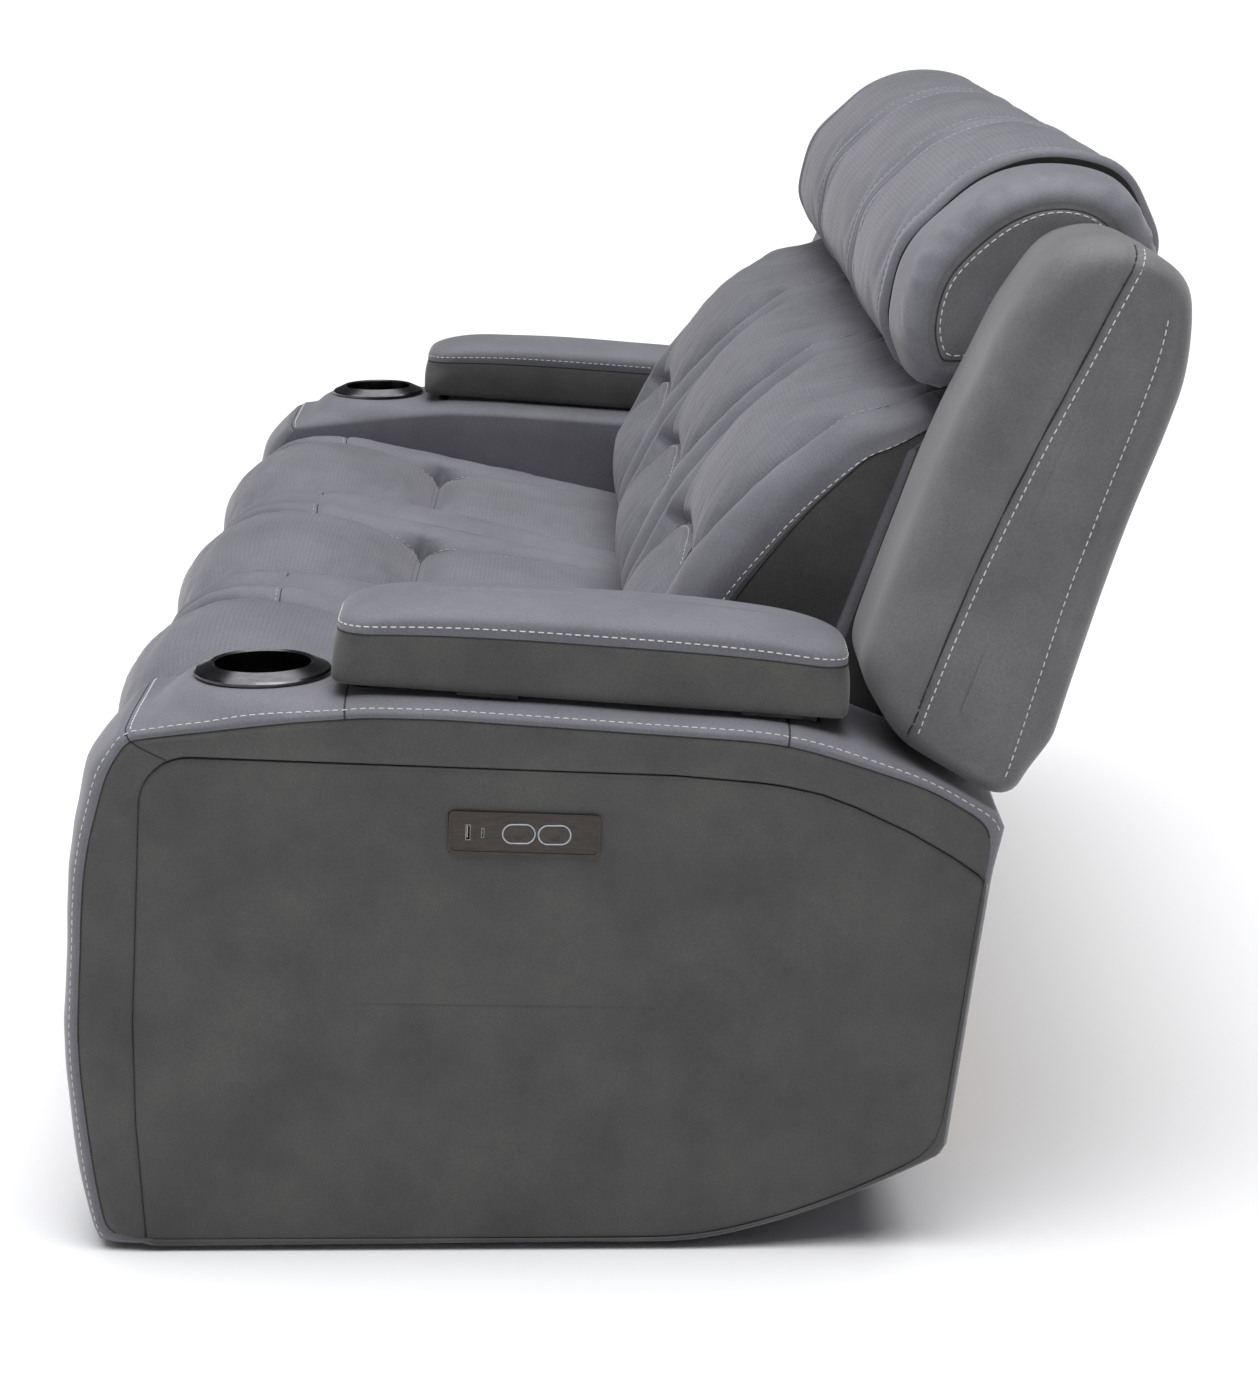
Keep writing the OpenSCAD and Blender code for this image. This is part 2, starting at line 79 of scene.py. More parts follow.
SEAT_LO, SEAT_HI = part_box("seat_cushion_r")
SEAT_HALF = (SEAT_HI.x - SEAT_LO.x) / 2
SEAT_X = (SEAT_HI.x + SEAT_LO.x) / 2
ARM_LO, ARM_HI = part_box("arm_cover_r")
CUP_LO, CUP_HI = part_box("cup_holder_r")
CUP_X, CUP_Y = (CUP_LO.x + CUP_HI.x) / 2, (CUP_LO.y + CUP_HI.y) / 2
CUP_CUT_R = 56 * MM                         # hole in the arm's leather round a cup
TOP_ABOVE = 0.46                            # the arm's top leather lies above this
ARM_FACE_MIDDLE = np.array([-0.09, 0.27])   # centre of the arm's outer face, seen from the side

# ---- outlines ----


def face_loop(node, x):
    """The largest loop round a CAD node's flat face at X = x, as (y, z) points, anticlockwise."""
    mesh = frame["nodes"][node].data
    points = [tuple(round(c, 5) for c in v.co) for v in mesh.vertices]
    edges = set()
    for face in mesh.polygons:
        ring = [points[v] for v in face.vertices]
        if all(abs(p[0] - x) < 3e-5 for p in ring):
            edges.update(zip(ring, ring[1:] + ring[:1]))
    follow = {a: b for a, b in edges if (b, a) not in edges}
    best, best_area = None, 0
    while follow:
        first, here = follow.popitem()
        loop = [first]
        while here != first and here in follow:
            loop.append(here)
            here = follow.pop(here)
        yz = np.array(loop)[:, 1:]
        area = 0.5 * np.sum(yz[:, 0] * np.roll(yz[:, 1], -1) - yz[:, 1] * np.roll(yz[:, 0], -1))
        if abs(area) > abs(best_area):
            best, best_area = yz, area
    return best if best_area > 0 else best[::-1]


class Outline:
    """A closed side outline sampled along its length, finely between two places."""

    def __init__(self, loop, start, fine=None, fine_step=FINE, coarse_step=COARSE, soften=6 * MM):
        first = np.argmin(np.hypot(*(loop - np.array(start)).T))
        loop = np.vstack([np.roll(loop, -first, 0), loop[first]])
        arc = np.append(0, np.cumsum(np.hypot(*np.diff(loop, axis=0).T)))
        even = np.linspace(0, arc[-1], DENSE, endpoint=False)
        dense = np.stack([np.interp(even, arc, loop[:, c]) for c in (0, 1)], 1)
        reach = max(1, int(soften / (arc[-1] / DENSE)))
        kernel = np.hanning(2 * reach + 3)[1:-1]
        kernel /= kernel.sum()
        wrap = np.vstack([dense[-reach:], dense, dense[:reach]])
        self.even = even
        self.dense = np.stack([np.convolve(wrap[:, c], kernel, "valid") for c in (0, 1)], 1)
        self.length = arc[-1]
        step = np.full(DENSE, coarse_step if fine else fine_step)
        if fine:
            a, b = (self.arc_at(*p) for p in fine)
            inside = (even >= a) & (even <= b) if a < b else (even >= a) | (even <= b)
            step[inside] = fine_step
        count = np.append(0, np.cumsum(self.length / DENSE / step))
        total = int(round(count[-1]))
        self.s = np.interp(np.arange(total) * count[-1] / total, count, np.append(even, self.length))
        self.resample()

    def resample(self):
        wrapped = np.vstack([self.dense, self.dense[:1]])
        arcs = np.append(self.even, self.length)
        self.points = np.stack([np.interp(self.s, arcs, wrapped[:, c]) for c in (0, 1)], 1)
        along = np.roll(self.points, -1, 0) - np.roll(self.points, 1, 0)
        along /= np.hypot(*along.T)[:, None]
        self.normals = np.stack([along[:, 1], -along[:, 0]], 1)

    def arc_at(self, y, z):
        """Arc length of the outline's point nearest to (y, z)."""
        return self.even[np.argmin(np.hypot(self.dense[:, 0] - y, self.dense[:, 1] - z))]

    def snap(self, y, z):
        """Moves the nearest sample onto the outline's point next to (y, z)."""
        s = self.arc_at(y, z)
        self.s[np.argmin(np.abs(self.s - s))] = s
        self.resample()


def ease(x, a, b):
    """0 below a, 1 above b, smooth between."""
    t = np.clip((x - a) / (b - a), 0, 1)
    return t * t * (3 - 2 * t)


def bell(x, width):
    return np.exp(-(x / width) ** 2)


def hump(t):
    """A half sine wave as t goes from 0 to 1, and 0 outside."""
    return np.sin(np.pi * np.clip(t, 0, 1))


def through(x, xs, ys):
    """A smooth curve through the points (xs, ys)."""
    xs, ys = np.array(xs, float), np.array(ys, float)
    slope = np.gradient(ys, xs)
    k = np.clip(np.searchsorted(xs, x) - 1, 0, len(xs) - 2)
    h = xs[k + 1] - xs[k]
    t = np.clip((x - xs[k]) / h, 0, 1)
    return ((2 * t**3 - 3 * t**2 + 1) * ys[k] + (t**3 - 2 * t**2 + t) * h * slope[k]
            + (3 * t**2 - 2 * t**3) * ys[k + 1] + (t**3 - t**2) * h * slope[k + 1])


def waves(x, y, seed, size):
    """Smooth repeatable noise of about the given feature size, from -1 to 1."""
    rng = np.random.default_rng(seed)
    total = np.zeros(np.broadcast(x, y).shape)
    for _ in range(7):
        angle, phase, scale = rng.uniform(0, math.tau), rng.uniform(0, math.tau), rng.uniform(0.7, 1.5)
        k = math.tau / (size * scale)
        total = total + np.sin(k * (x * math.cos(angle) + y * math.sin(angle)) + phase)
    return total / 4


def path_distance(path, y, z):
    """Distance of each (y, z) from a polyline."""
    best = np.full(np.shape(y), 1e9)
    for (ay, az), (by, bz) in zip(path[:-1], path[1:]):
        dy, dz = by - ay, bz - az
        t = np.clip(((y - ay) * dy + (z - az) * dz) / (dy * dy + dz * dz), 0, 1)
        best = np.minimum(best, np.hypot(y - ay - t * dy, z - az - t * dz))
    return best


def row_at(arcs, value):
    """Fractional row of an outline at an arc length."""
    return np.interp(value, arcs, np.arange(len(arcs)))


def onto_segment(points, a, b):
    """The nearest point of the segment from a to b for each point."""
    a, b = np.array(a), np.array(b)
    t = np.clip(((points - a) @ (b - a)) / ((b - a) @ (b - a)), 0, 1)
    return a + t[:, None] * (b - a)


# ---- meshes ----


def new_object(name, points, faces, *materials):
    """A smooth mesh object linked to the scene."""
    mesh = bpy.data.meshes.new(name)
    mesh.from_pydata(points, [], faces)
    for material in materials:
        mesh.materials.append(material)
    mesh.polygons.foreach_set("use_smooth", [True] * len(faces))
    obj = bpy.data.objects.new(name, mesh)
    bpy.context.scene.collection.objects.link(obj)
    return obj


def tube_faces(first, rings, sides):
    """Faces of a closed tube: rings of points that follow one another from point first on."""
    faces = []
    for base in range(first, first + (rings - 1) * sides, sides):
        for i in range(sides):
            j = (i + 1) % sides
            faces.append([base + i, base + j, base + sides + j, base + sides + i])
    last = first + rings * sides - 1
    return faces + [[first + i for i in range(sides)], [last - i for i in range(sides)]]


@contextmanager
def edited(obj):
    """Edits an object's mesh as a bmesh."""
    bm = bmesh.new()
    bm.from_mesh(obj.data)
    yield bm
    bm.to_mesh(obj.data)
    bm.free()


# ---- skins ----


class Skin:
    """Rings of points: grid[k, i] is point i of ring k, and X grows with k."""

    def __init__(self, grid, arc, top):
        self.grid = grid
        self.arc = np.broadcast_to(arc, grid.shape[:2])   # length along the outline
        self.x = grid[:, :, 0].copy()                     # X before any shaping
        self.top = top                                    # 1 on the long face, 0 on the ends

    def normals(self):
        along = np.roll(self.grid, -1, 1) - np.roll(self.grid, 1, 1)
        across = np.gradient(self.grid, axis=0)
        n = np.cross(along, across)
        return n / np.maximum(np.linalg.norm(n, axis=2), 1e-12)[..., None]

    def push(self, amount):
        self.grid = self.grid + self.normals() * np.broadcast_to(amount, self.x.shape)[..., None]
        return self

    def smooth(self, weight, rounds=2):
        for _ in range(rounds):
            near = (np.roll(self.grid, 1, 1) + np.roll(self.grid, -1, 1)) / 4
            near[1:-1] += (self.grid[2:] + self.grid[:-2]) / 4
            near[0] *= 2
            near[-1] *= 2
            self.grid = self.grid + (near - self.grid) * weight[..., None]
        return self

    def quads(self):
        rings, count = self.x.shape
        k, i = np.meshgrid(np.arange(rings - 1), np.arange(count), indexing="ij")
        j = (i + 1) % count
        return np.stack([k * count + i, k * count + j, (k + 1) * count + j, (k + 1) * count + i], -1)

    def build(self, name, materials, slot_of=None, ends=True, drop=None):
        """A mesh object. slot_of gives each face's material, drop the faces left out."""
        quads = self.quads()
        keep = np.ones(quads.shape[:2], bool) if drop is None else ~drop
        slots = np.zeros(quads.shape[:2], int) if slot_of is None else slot_of
        rings, count = self.x.shape
        faces = [list(map(int, q)) for q in quads[keep]]
        indices = list(map(int, slots[keep]))
        if ends:
            faces += [list(range(count))[::-1], list(range((rings - 1) * count, rings * count))]
            indices += [0, 0]
        obj = new_object(name, self.grid.reshape(-1, 3).tolist(), faces, *materials)
        mesh = obj.data
        mesh.polygons.foreach_set("material_index", indices)
        uv = mesh.uv_layers.new(name="sewn")
        flat = np.stack([self.x, self.arc], -1).reshape(-1, 2)
        loops = np.zeros(len(mesh.loops), np.int32)
        mesh.loops.foreach_get("vertex_index", loops)
        uv.data.foreach_set("uv", flat[loops].astype(np.float32).ravel())
        mesh.validate()
        with edited(obj) as bm:
            bmesh.ops.delete(bm, geom=[v for v in bm.verts if not v.link_faces], context="VERTS")
            if ends:
                bmesh.ops.recalc_face_normals(bm, faces=bm.faces)
        return obj


def slab_skin(outline, x0, x1, columns, round_x, round_n, end_rings=(5, 5), spine=None,
              swell=(0, 0), left_round=None):
    """A padded bar along X with rounded ends.

    columns is (n,) or (n, m) of X. Each end is rounded by round_x along X and round_n across,
    which may vary along the outline; left_round gives the left end its own. The end faces close
    on the spine in end_rings rings and bulge by swell.
    """
    points, normals = outline.points, outline.normals
    count = len(points)
    round_n = np.broadcast_to(round_n, count)
    columns = np.broadcast_to(np.reshape(columns, (len(columns), -1)), (len(columns), count))
    centre = spine if spine is not None else (points.mean(0), points.mean(0) + 1e-4)
    middle = onto_segment(points, *centre)

    def ring(x, inset):
        moved = points - normals * inset[:, None]
        for _ in range(int(900 * inset.max())):
            moved = moved + (np.roll(moved, 1, 0) + np.roll(moved, -1, 0) - 2 * moved) * 0.25
        return np.column_stack([np.broadcast_to(x, count), moved])

    def end(x_edge, inwards, rings, bulge, round_x=round_x, round_n=round_n):
        turns = np.linspace(0, math.pi / 2, ROUND_RINGS + 1)[1:]
        sides = [ring(x_edge + inwards * round_x * (1 - math.sin(q)), round_n * (1 - math.cos(q)))
                 for q in turns]
        rim = sides[-1][:, 1:]
        for f in np.linspace(0, 0.94, rings + 1)[1:]:
            x = x_edge - inwards * bulge * math.sin(f * math.pi / 2)
            sides.append(np.column_stack([np.full(count, x), rim * (1 - f) + middle * f]))
        return sides

    rounding = (round_x, round_n) if left_round is None else (left_round, np.full(count, left_round))
    left = end(x0, 1, end_rings[0], swell[0], *rounding)[::-1]
    right = end(x1, -1, end_rings[1], swell[1])
    body = [ring(c, np.zeros(count)) for c in columns]
    grid = np.array(left + body + right)
    fade = np.linspace(0.1, 0.9, ROUND_RINGS)
    top = np.concatenate([np.zeros(end_rings[0]), fade, np.ones(len(body)),
                          np.linspace(0.9, 0.1, ROUND_RINGS), np.zeros(end_rings[1])])
    return Skin(grid, outline.s, top[:, None] * np.ones(count))


def seam_columns(x0, x1, seam, step=FINE):
    """Columns across a cushion that follow the two curved seams at X = middle -+ seam."""
    mid, half = (x0 + x1) / 2, (x1 - x0) / 2
    near = np.array([-6, -3, -1.2, 0, 1.2, 3, 6]) * MM
    strip = np.linspace(0, 1, int((half - seam.max()) / step) + 3)[:-1]
    panel = np.linspace(-1, 1, int(2 * seam.mean() / step))[1:-1]
    left = [-(half * (1 - t) + (seam + 9 * MM) * t) for t in strip]
    rows = left + [-seam - n for n in near[::-1]]
    rows += [(seam - 9 * MM) * t for t in panel]
    rows += [seam + n for n in near] + [-r for r in left[::-1]]
    return mid + np.sort(np.array(rows), axis=0)


def inflate(skin, free, pressure=4.0, reach=12 * MM, slack=0.012, frames=14, settle=3):
    """Swells the free part of a skin by cloth pressure; the rest is held. free is 0 to 1."""
    obj = skin.build("swelling", [])
    points = len(obj.data.vertices)
    held = obj.vertex_groups.new(name="held")
    loose = np.clip(free.ravel(), 0, 1)
    for level in (0.25, 0.5, 0.75, 1.0):
        near = np.flatnonzero(np.abs((1 - loose) - level) <= 0.125)
        held.add([int(v) for v in near if v < points], level, "REPLACE")
    cloth = obj.modifiers.new("swell", "CLOTH")
    cloth.settings.use_pressure = True
    cloth.settings.uniform_pressure_force = pressure
    cloth.settings.vertex_group_mass = "held"
    cloth.settings.effector_weights.gravity = 0
    cloth.settings.tension_stiffness = 12
    cloth.settings.compression_stiffness = 12
    cloth.settings.bending_stiffness = 0.3
    cloth.settings.shrink_min = -slack
    cloth.point_cache.frame_start, cloth.point_cache.frame_end = 1, frames
    scene = bpy.context.scene
    for f in range(1, frames + 1):
        scene.frame_set(f)
    shown = obj.evaluated_get(bpy.context.evaluated_depsgraph_get()).to_mesh()
    after = np.zeros(points * 3)
    shown.vertices.foreach_get("co", after)
    move = after.reshape(skin.grid.shape) - skin.grid
    size = np.linalg.norm(move, axis=2, keepdims=True)
    move *= np.minimum(1, reach / np.maximum(size, 1e-9)) * free[..., None]
    skin.grid = skin.grid + move
    data = obj.data
    bpy.data.objects.remove(obj)
    bpy.data.meshes.remove(data)
    scene.frame_set(1)
    return skin.smooth(0.8 * free, settle)


# ---- materials ----


class Nodes:
    """A material's node tree with short calls for the nodes used here."""

    def __init__(self, name):
        self.material = bpy.data.materials.new(name)
        self.material.use_nodes = True
        self.tree = self.material.node_tree
        self.shader = self.tree.nodes["Principled BSDF"]

    def add(self, kind, inputs=(), **settings):
        node = self.tree.nodes.new(kind)
        for key, value in settings.items():
            setattr(node, key, value)
        for key, value in dict(inputs).items():
            self.set(node.inputs[key], value)
        return node

    def set(self, socket, value):
        if isinstance(value, bpy.types.NodeSocket):
            self.tree.links.new(value, socket)
        else:
            socket.default_value = value

    def noise(self, scale, detail=3, rough=0.5, where="Object", stretch=(1, 1, 1)):
        place = self.add("ShaderNodeTexCoord").outputs[where]
        sized = self.add("ShaderNodeMapping", {"Vector": place, "Scale": stretch}).outputs[0]
        node = self.add("ShaderNodeTexNoise", {"Vector": sized, "Scale": scale, "Detail": detail,
                                               "Roughness": rough})
        return node.outputs["Fac"]

    def ramp(self, factor, low, high, start=0.3, stop=0.7):
        node = self.add("ShaderNodeValToRGB", {"Fac": factor})
        node.color_ramp.elements[0].position, node.color_ramp.elements[0].color = start, (*low, 1)
        node.color_ramp.elements[1].position, node.color_ramp.elements[1].color = stop, (*high, 1)
        return node.outputs["Color"]

    def math(self, operation, a, b=0.0):
        return self.add("ShaderNodeMath", {0: a, 1: b}, operation=operation).outputs[0]

    def multiply(self, a, b, factor=1.0):
        node = self.add("ShaderNodeMix", {"Factor": factor}, data_type="RGBA", blend_type="MULTIPLY")
        self.set(node.inputs[6], a)
        self.set(node.inputs[7], b)
        return node.outputs[2]

    def bump(self, height, distance, strength=1.0, under=None):
        inputs = {"Height": height, "Distance": distance, "Strength": strength}
        if under is not None:
            inputs["Normal"] = under
        return self.add("ShaderNodeBump", inputs).outputs[0]

    def finish(self, **inputs):
        for key, value in inputs.items():
            self.set(self.shader.inputs[key.replace("_", " ")], value)
        return self.material


def leather(name, dark, light, mottle=7.0, perforated=False):
    """Matt buffed leather: cloudy colour, fine grain and creases, and rows of pinholes if asked."""
    n = Nodes(name)
    cloud = n.noise(mottle, 5, 0.62)
    colour = n.ramp(cloud, dark, light, 0.36, 0.66)
    speck = n.ramp(n.noise(420, 2), (0.86,) * 3, (1.06,) * 3)
    colour = n.multiply(colour, speck)
    grain = n.bump(n.noise(650, 3), 0.4 * MM, 0.30)
    creases = n.bump(n.noise(70, 4, 0.6), 1.5 * MM, 0.16, grain)
    normal = creases
    if perforated:
        place = n.add("ShaderNodeUVMap", uv_map="sewn").outputs[0]
        axes = n.add("ShaderNodeSeparateXYZ", {0: place}).outputs
        pitch = 5.2 * MM
        rows = [n.math("PINGPONG", n.math("ADD", a, 7.0), pitch / 2) for a in axes[:2]]
        radius = n.math("SQRT", n.math("ADD", n.math("POWER", rows[0], 2.0),
                                       n.math("POWER", rows[1], 2.0)))
        solid = n.math("SMOOTH_MIN", n.math("DIVIDE", radius, 1.1 * MM), 1.0)
        # Each pinhole is darkened in colour: painted shade inside the hole, which has no depth of its
        # own, only a bump.
        colour = n.multiply(colour, n.ramp(solid, (0.55,) * 3, (1.0,) * 3, 0.35, 0.95))
        normal = n.bump(solid, 0.6 * MM, 0.6, creases)
    return n.finish(Base_Color=colour, Roughness=n.math("MULTIPLY_ADD", cloud, 0.16), Normal=normal,
                    Sheen_Weight=0.22, Sheen_Roughness=0.45, Specular_IOR_Level=0.28)


def plain(name, low, high, roughness, metallic=0.0, grain=(160, 0.2 * MM), stretch=(1, 1, 1)):
    """Metal, plastic, timber or thread: streaked colour and a fine surface."""
    n = Nodes(name)
    streak = n.noise(grain[0], 4, 0.6, stretch=stretch)
    colour = n.ramp(streak, low, high)
    rough = n.ramp(n.noise(grain[0] / 3, 2), (roughness * 0.85,) * 3, (roughness * 1.15,) * 3)
    return n.finish(Base_Color=colour, Roughness=rough, Metallic=metallic,
                    Normal=n.bump(streak, grain[1], 0.25))


# The top, side and wing leathers are one grey leather in three tones. leather_top is the lighter, bluer
# copy for faces lit from above. The darker side and wing copies are painted shade, for faces turned away
# from the overhead light.
LEATHER = leather("leather_top", (0.130, 0.129, 0.148), (0.164, 0.162, 0.184))
LEATHER_PERFORATED = leather("leather_perforated", (0.130, 0.129, 0.148), (0.164, 0.162, 0.184),
                             perforated=True)
LEATHER_SIDE_SHADED = leather("leather_side", (0.060, 0.060, 0.058), (0.086, 0.086, 0.081), mottle=9.0)
LEATHER_WING_SHADED = leather("leather_wing", (0.112, 0.112, 0.116), (0.152, 0.151, 0.154), mottle=9.0)
SEAM = plain("seam_shadow", (0.022,) * 3, (0.034,) * 3, 0.9)
# The hinges are real steel, darkened well below plain steel so that they merge with the shade under the
# lid pad: partly painted shade.
HINGE = plain("blackened_steel", (0.010,) * 3, (0.018,) * 3, 0.6, 0.3, (120, 0.1 * MM))
# Near-black painted shade for the end faces of the head rolls and the end of the fixed band beside them,
# so the gaps between them read as dark slots.
GAP_SHADE = plain("dark_lining", (0.012,) * 3, (0.022,) * 3, 0.95)
THREAD = plain("thread", (0.50, 0.50, 0.49), (0.66, 0.66, 0.64), 0.75, grain=(900, 0.2 * MM))
THREAD_DARK = plain("thread_grey", (0.30, 0.30, 0.33), (0.42, 0.42, 0.45), 0.75,
                    grain=(900, 0.2 * MM))
NICKEL = plain("dark_nickel", (0.060, 0.060, 0.063), (0.095, 0.095, 0.10), 0.22, 1.0, (60, 0.01 * MM),
               (1, 1, 6))
BRONZE = plain("bronze_plate", (0.046, 0.040, 0.036), (0.066, 0.057, 0.051), 0.36, 0.85,
               (500, 0.05 * MM), (1, 0.1, 1))
BUTTON = plain("button", (0.050, 0.044, 0.040), (0.066, 0.058, 0.052), 0.42, 0.6)
RING = plain("button_ring", (0.36, 0.40, 0.43), (0.46, 0.50, 0.53), 0.4)
SOCKET = plain("socket_metal", (0.22,) * 3, (0.30,) * 3, 0.35, 1.0)
TIMBER = plain("plywood", (0.50, 0.34, 0.19), (0.68, 0.50, 0.31), 0.62, 0.0, (14, 0.4 * MM), (1, 14, 14))
STEEL = plain("steel", (0.060,) * 3, (0.095,) * 3, 0.42, 0.85, (120, 0.1 * MM))
BLACK = plain("black_plastic", (0.018,) * 3, (0.030,) * 3, 0.5, 0.0, (700, 0.15 * MM))

CAD_MATERIALS = {
    NICKEL: ["cup_holder"], BRONZE: ["control_plate"], BUTTON: ["button"], SOCKET: ["usb_sockets"],
    TIMBER: ["arm_frames", "lid_board", "front_rail", "rear_rail", "seat_frame", "mid_seat_frame",
             "legrest_board", "back_frame", "mid_back_frame"],
    HINGE: ["lid_hinges"],
    STEEL: ["base_rails", "link_", "headrest_frame", "drive_block"],
    BLACK: ["storage_bins", "drive_motors", "glides", "headrest_actuator"],
}


def paint_cad():
    for material, starts in CAD_MATERIALS.items():
        for name, obj in frame["nodes"].items():
            if name.startswith(tuple(starts)):
                obj.data.materials.clear()
                obj.data.materials.append(material)


# ---- stitching ----


def capsule(a, b, up, radius):
    """Points of one stitch from a to b, its ends dipping into the leather."""
    along = b - a
    side = np.cross(along, up)
    side /= max(np.linalg.norm(side), 1e-9)
    rows = []
    for t, r, lift in ((0, 0.3, -0.9), (0.16, 1, 0.1), (0.5, 1.05, 0.45), (0.84, 1, 0.1),
                       (1, 0.3, -0.9)):
        for q in np.arange(5) * math.tau / 5:
            rows.append(a + along * t + side * (r * radius * math.cos(q))
                        + up * (radius * (lift + 0.8 * r * math.sin(q))))
    return rows


class Thread:
    """Collects the stitches (kind 0) and dark seam lines (kind 1) of one piece into one mesh."""

    def __init__(self):
        self.points, self.faces, self.kinds = [], [], []

    def add(self, faces, kind):
        self.faces += faces
        self.kinds += [kind] * len(faces)

    def crease(self, places, normals, width=1.1 * MM):
        """Lays the dark line of a seam as painted shadow: a flat dark strip half sunk in the leather,
        standing in for the shade in the seam's groove.
        """
        along = np.gradient(places, axis=0)
        side = np.cross(along, normals)
        side /= np.maximum(np.linalg.norm(side, axis=1), 1e-9)[:, None]
        up = normals / np.maximum(np.linalg.norm(normals, axis=1), 1e-9)[:, None]
        first = len(self.points)
        turns = np.arange(6) * math.tau / 6
        for p, a, b in zip(places, side, up):
            self.points += [p + a * width * math.cos(q) + b * 0.55 * MM * math.sin(q) for q in turns]
        self.add(tube_faces(first, len(places), 6), 1)
        return self

    def sew(self, places, normals, dark=False, pitch=STITCH_PITCH, length=STITCH_LENGTH,
            radius=STITCH_R):
        """Runs stitches along the places, which lie on the leather, or the dark line of a seam."""
        if dark:
            return self.crease(places, normals)
        arc = np.append(0, np.cumsum(np.linalg.norm(np.diff(places, axis=0), axis=1)))
        for n in range(int(arc[-1] / pitch)):
            s = n * pitch
            a, b, up = (np.array([np.interp(q, arc, values[:, c]) for c in range(3)])
                        for q, values in ((s, places), (s + length, places), (s + length / 2, normals)))
            first = len(self.points)
            self.points += capsule(a, b, up / max(np.linalg.norm(up), 1e-9), radius)
            self.add(tube_faces(first, 5, 5), 0)
        return self

    def on_grid(self, skin, k, i, **how):
        """Sews along fractional grid places of a skin; k or i may be a single number."""
        k, i = np.broadcast_arrays(np.asarray(k, float), np.asarray(i, float))
        normals = skin.normals()
        count = skin.x.shape[1]

        def sample(values):
            k0, i0 = np.floor(k).astype(int), np.floor(i).astype(int)
            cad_, fi = (k - k0)[:, None], (i - i0)[:, None]
            k1 = np.minimum(k0 + 1, len(values) - 1)
            a = values[k0, i0 % count] * (1 - fi) + values[k0, (i0 + 1) % count] * fi
            b = values[k1, i0 % count] * (1 - fi) + values[k1, (i0 + 1) % count] * fi
            return a * (1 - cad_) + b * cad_

        return self.sew(sample(skin.grid), sample(normals), **how)

    def on_side(self, obj, path, x_from, way=-1, **how):
        """Sews along a side-view path thrown onto an object's surface along X."""
        tree = BVHTree.FromObject(obj, bpy.context.evaluated_depsgraph_get())
        hits = [tree.ray_cast(Vector((x_from, y, z)), Vector((way, 0, 0))) for y, z in path]
        hits = [h for h in hits if h[0] is not None]
        return self.sew(np.array([h[0] for h in hits]), np.array([h[1] for h in hits]), **how)

    def build(self, name, material=THREAD):
        obj = new_object(name, [tuple(p) for p in self.points], self.faces, material, SEAM)
        obj.data.polygons.foreach_set("material_index", self.kinds)
        return obj


def curve_path(corners, step=3 * MM):
    """A smooth dense path through side-view points."""
    corners = np.array(corners, float)
    t = np.append(0, np.cumsum(np.hypot(*np.diff(corners, axis=0).T)))
    fine = np.linspace(0, t[-1], int(t[-1] / step))
    return np.stack([through(fine, t, corners[:, c]) for c in (0, 1)], 1)


def copy_of(obj, name, shift=0.0, mirror=False):
    """A copy of a piece moved along X or mirrored to the other end of the sofa."""
    other = obj.copy()
    other.data = obj.data.copy()
    other.name = other.data.name = name
    bpy.context.scene.collection.objects.link(other)
    if mirror:
        with edited(other) as bm:
            bmesh.ops.scale(bm, vec=(-1, 1, 1), verts=bm.verts)
            bmesh.ops.reverse_faces(bm, faces=bm.faces)
    if shift:
        for v in other.data.vertices:
            v.co.x += shift
    return other


def place(obj, body, slot, *nodes, fill=None):
    """Rides a finished piece on its body, in the place of CAD nodes."""
    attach(obj, body)
    if nodes:
        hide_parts(*nodes)
    return obj


def place_mid_and_ends(pieces, slot, mid_node, body, node, fill):
    """Places the middle seat's pieces and copies of them on both end seats.

    The first piece of each seat stands for its CAD node.
    """
    for side, shift in (("r", SEAT_X), ("l", -SEAT_X)):
        for n, piece in enumerate(pieces):
            other = copy_of(piece, piece.name.replace("_mid", f"_{side}"), shift)
            stood, full = ((), None) if n else ((f"{node}_{side}",), fill)
            place(other, f"{body}_{side}", slot, *stood, fill=full)
    for n, piece in enumerate(pieces):
        stood, full = ((), None) if n else ((mid_node,), fill)
        place(piece, "base", slot, *stood, fill=full)


def both_sides(*pieces):
    """Each side's letter and pieces: the right-hand ones and their mirrored copies."""
    return ("r", pieces), ("l", [copy_of(p, p.name[:-1] + "l", mirror=True) for p in pieces])


# ---- seats ----


def tufted(skin, centre_x, seam, crease, panel_depth, spread, deep):
    """Presses the sewn crease, its two tufts and the curved side seams into a cushion."""
    across = np.abs(skin.x - centre_x)
    off = across - seam
    down = skin.arc - crease
    inside = 1 - ease(off, 0, 26 * MM)
    tuft = bell(np.hypot(off, down), 20 * MM)
    angle = np.arctan2(down, off - 4 * MM)
    far = np.hypot(off, down)
    puckers = np.sin(8 * angle + 4 * waves(skin.x, skin.arc, 5, 0.07)) * bell(far - 26 * MM, 26 * MM)
    amount = -panel_depth * inside * (0.45 * bell(down, spread) + 0.55 * bell(down, 7 * MM))
    amount -= deep * tuft + 3.5 * MM * bell(down, 3 * MM) * inside
    amount += 0.5 * MM * puckers
    return skin.push(amount * skin.top)


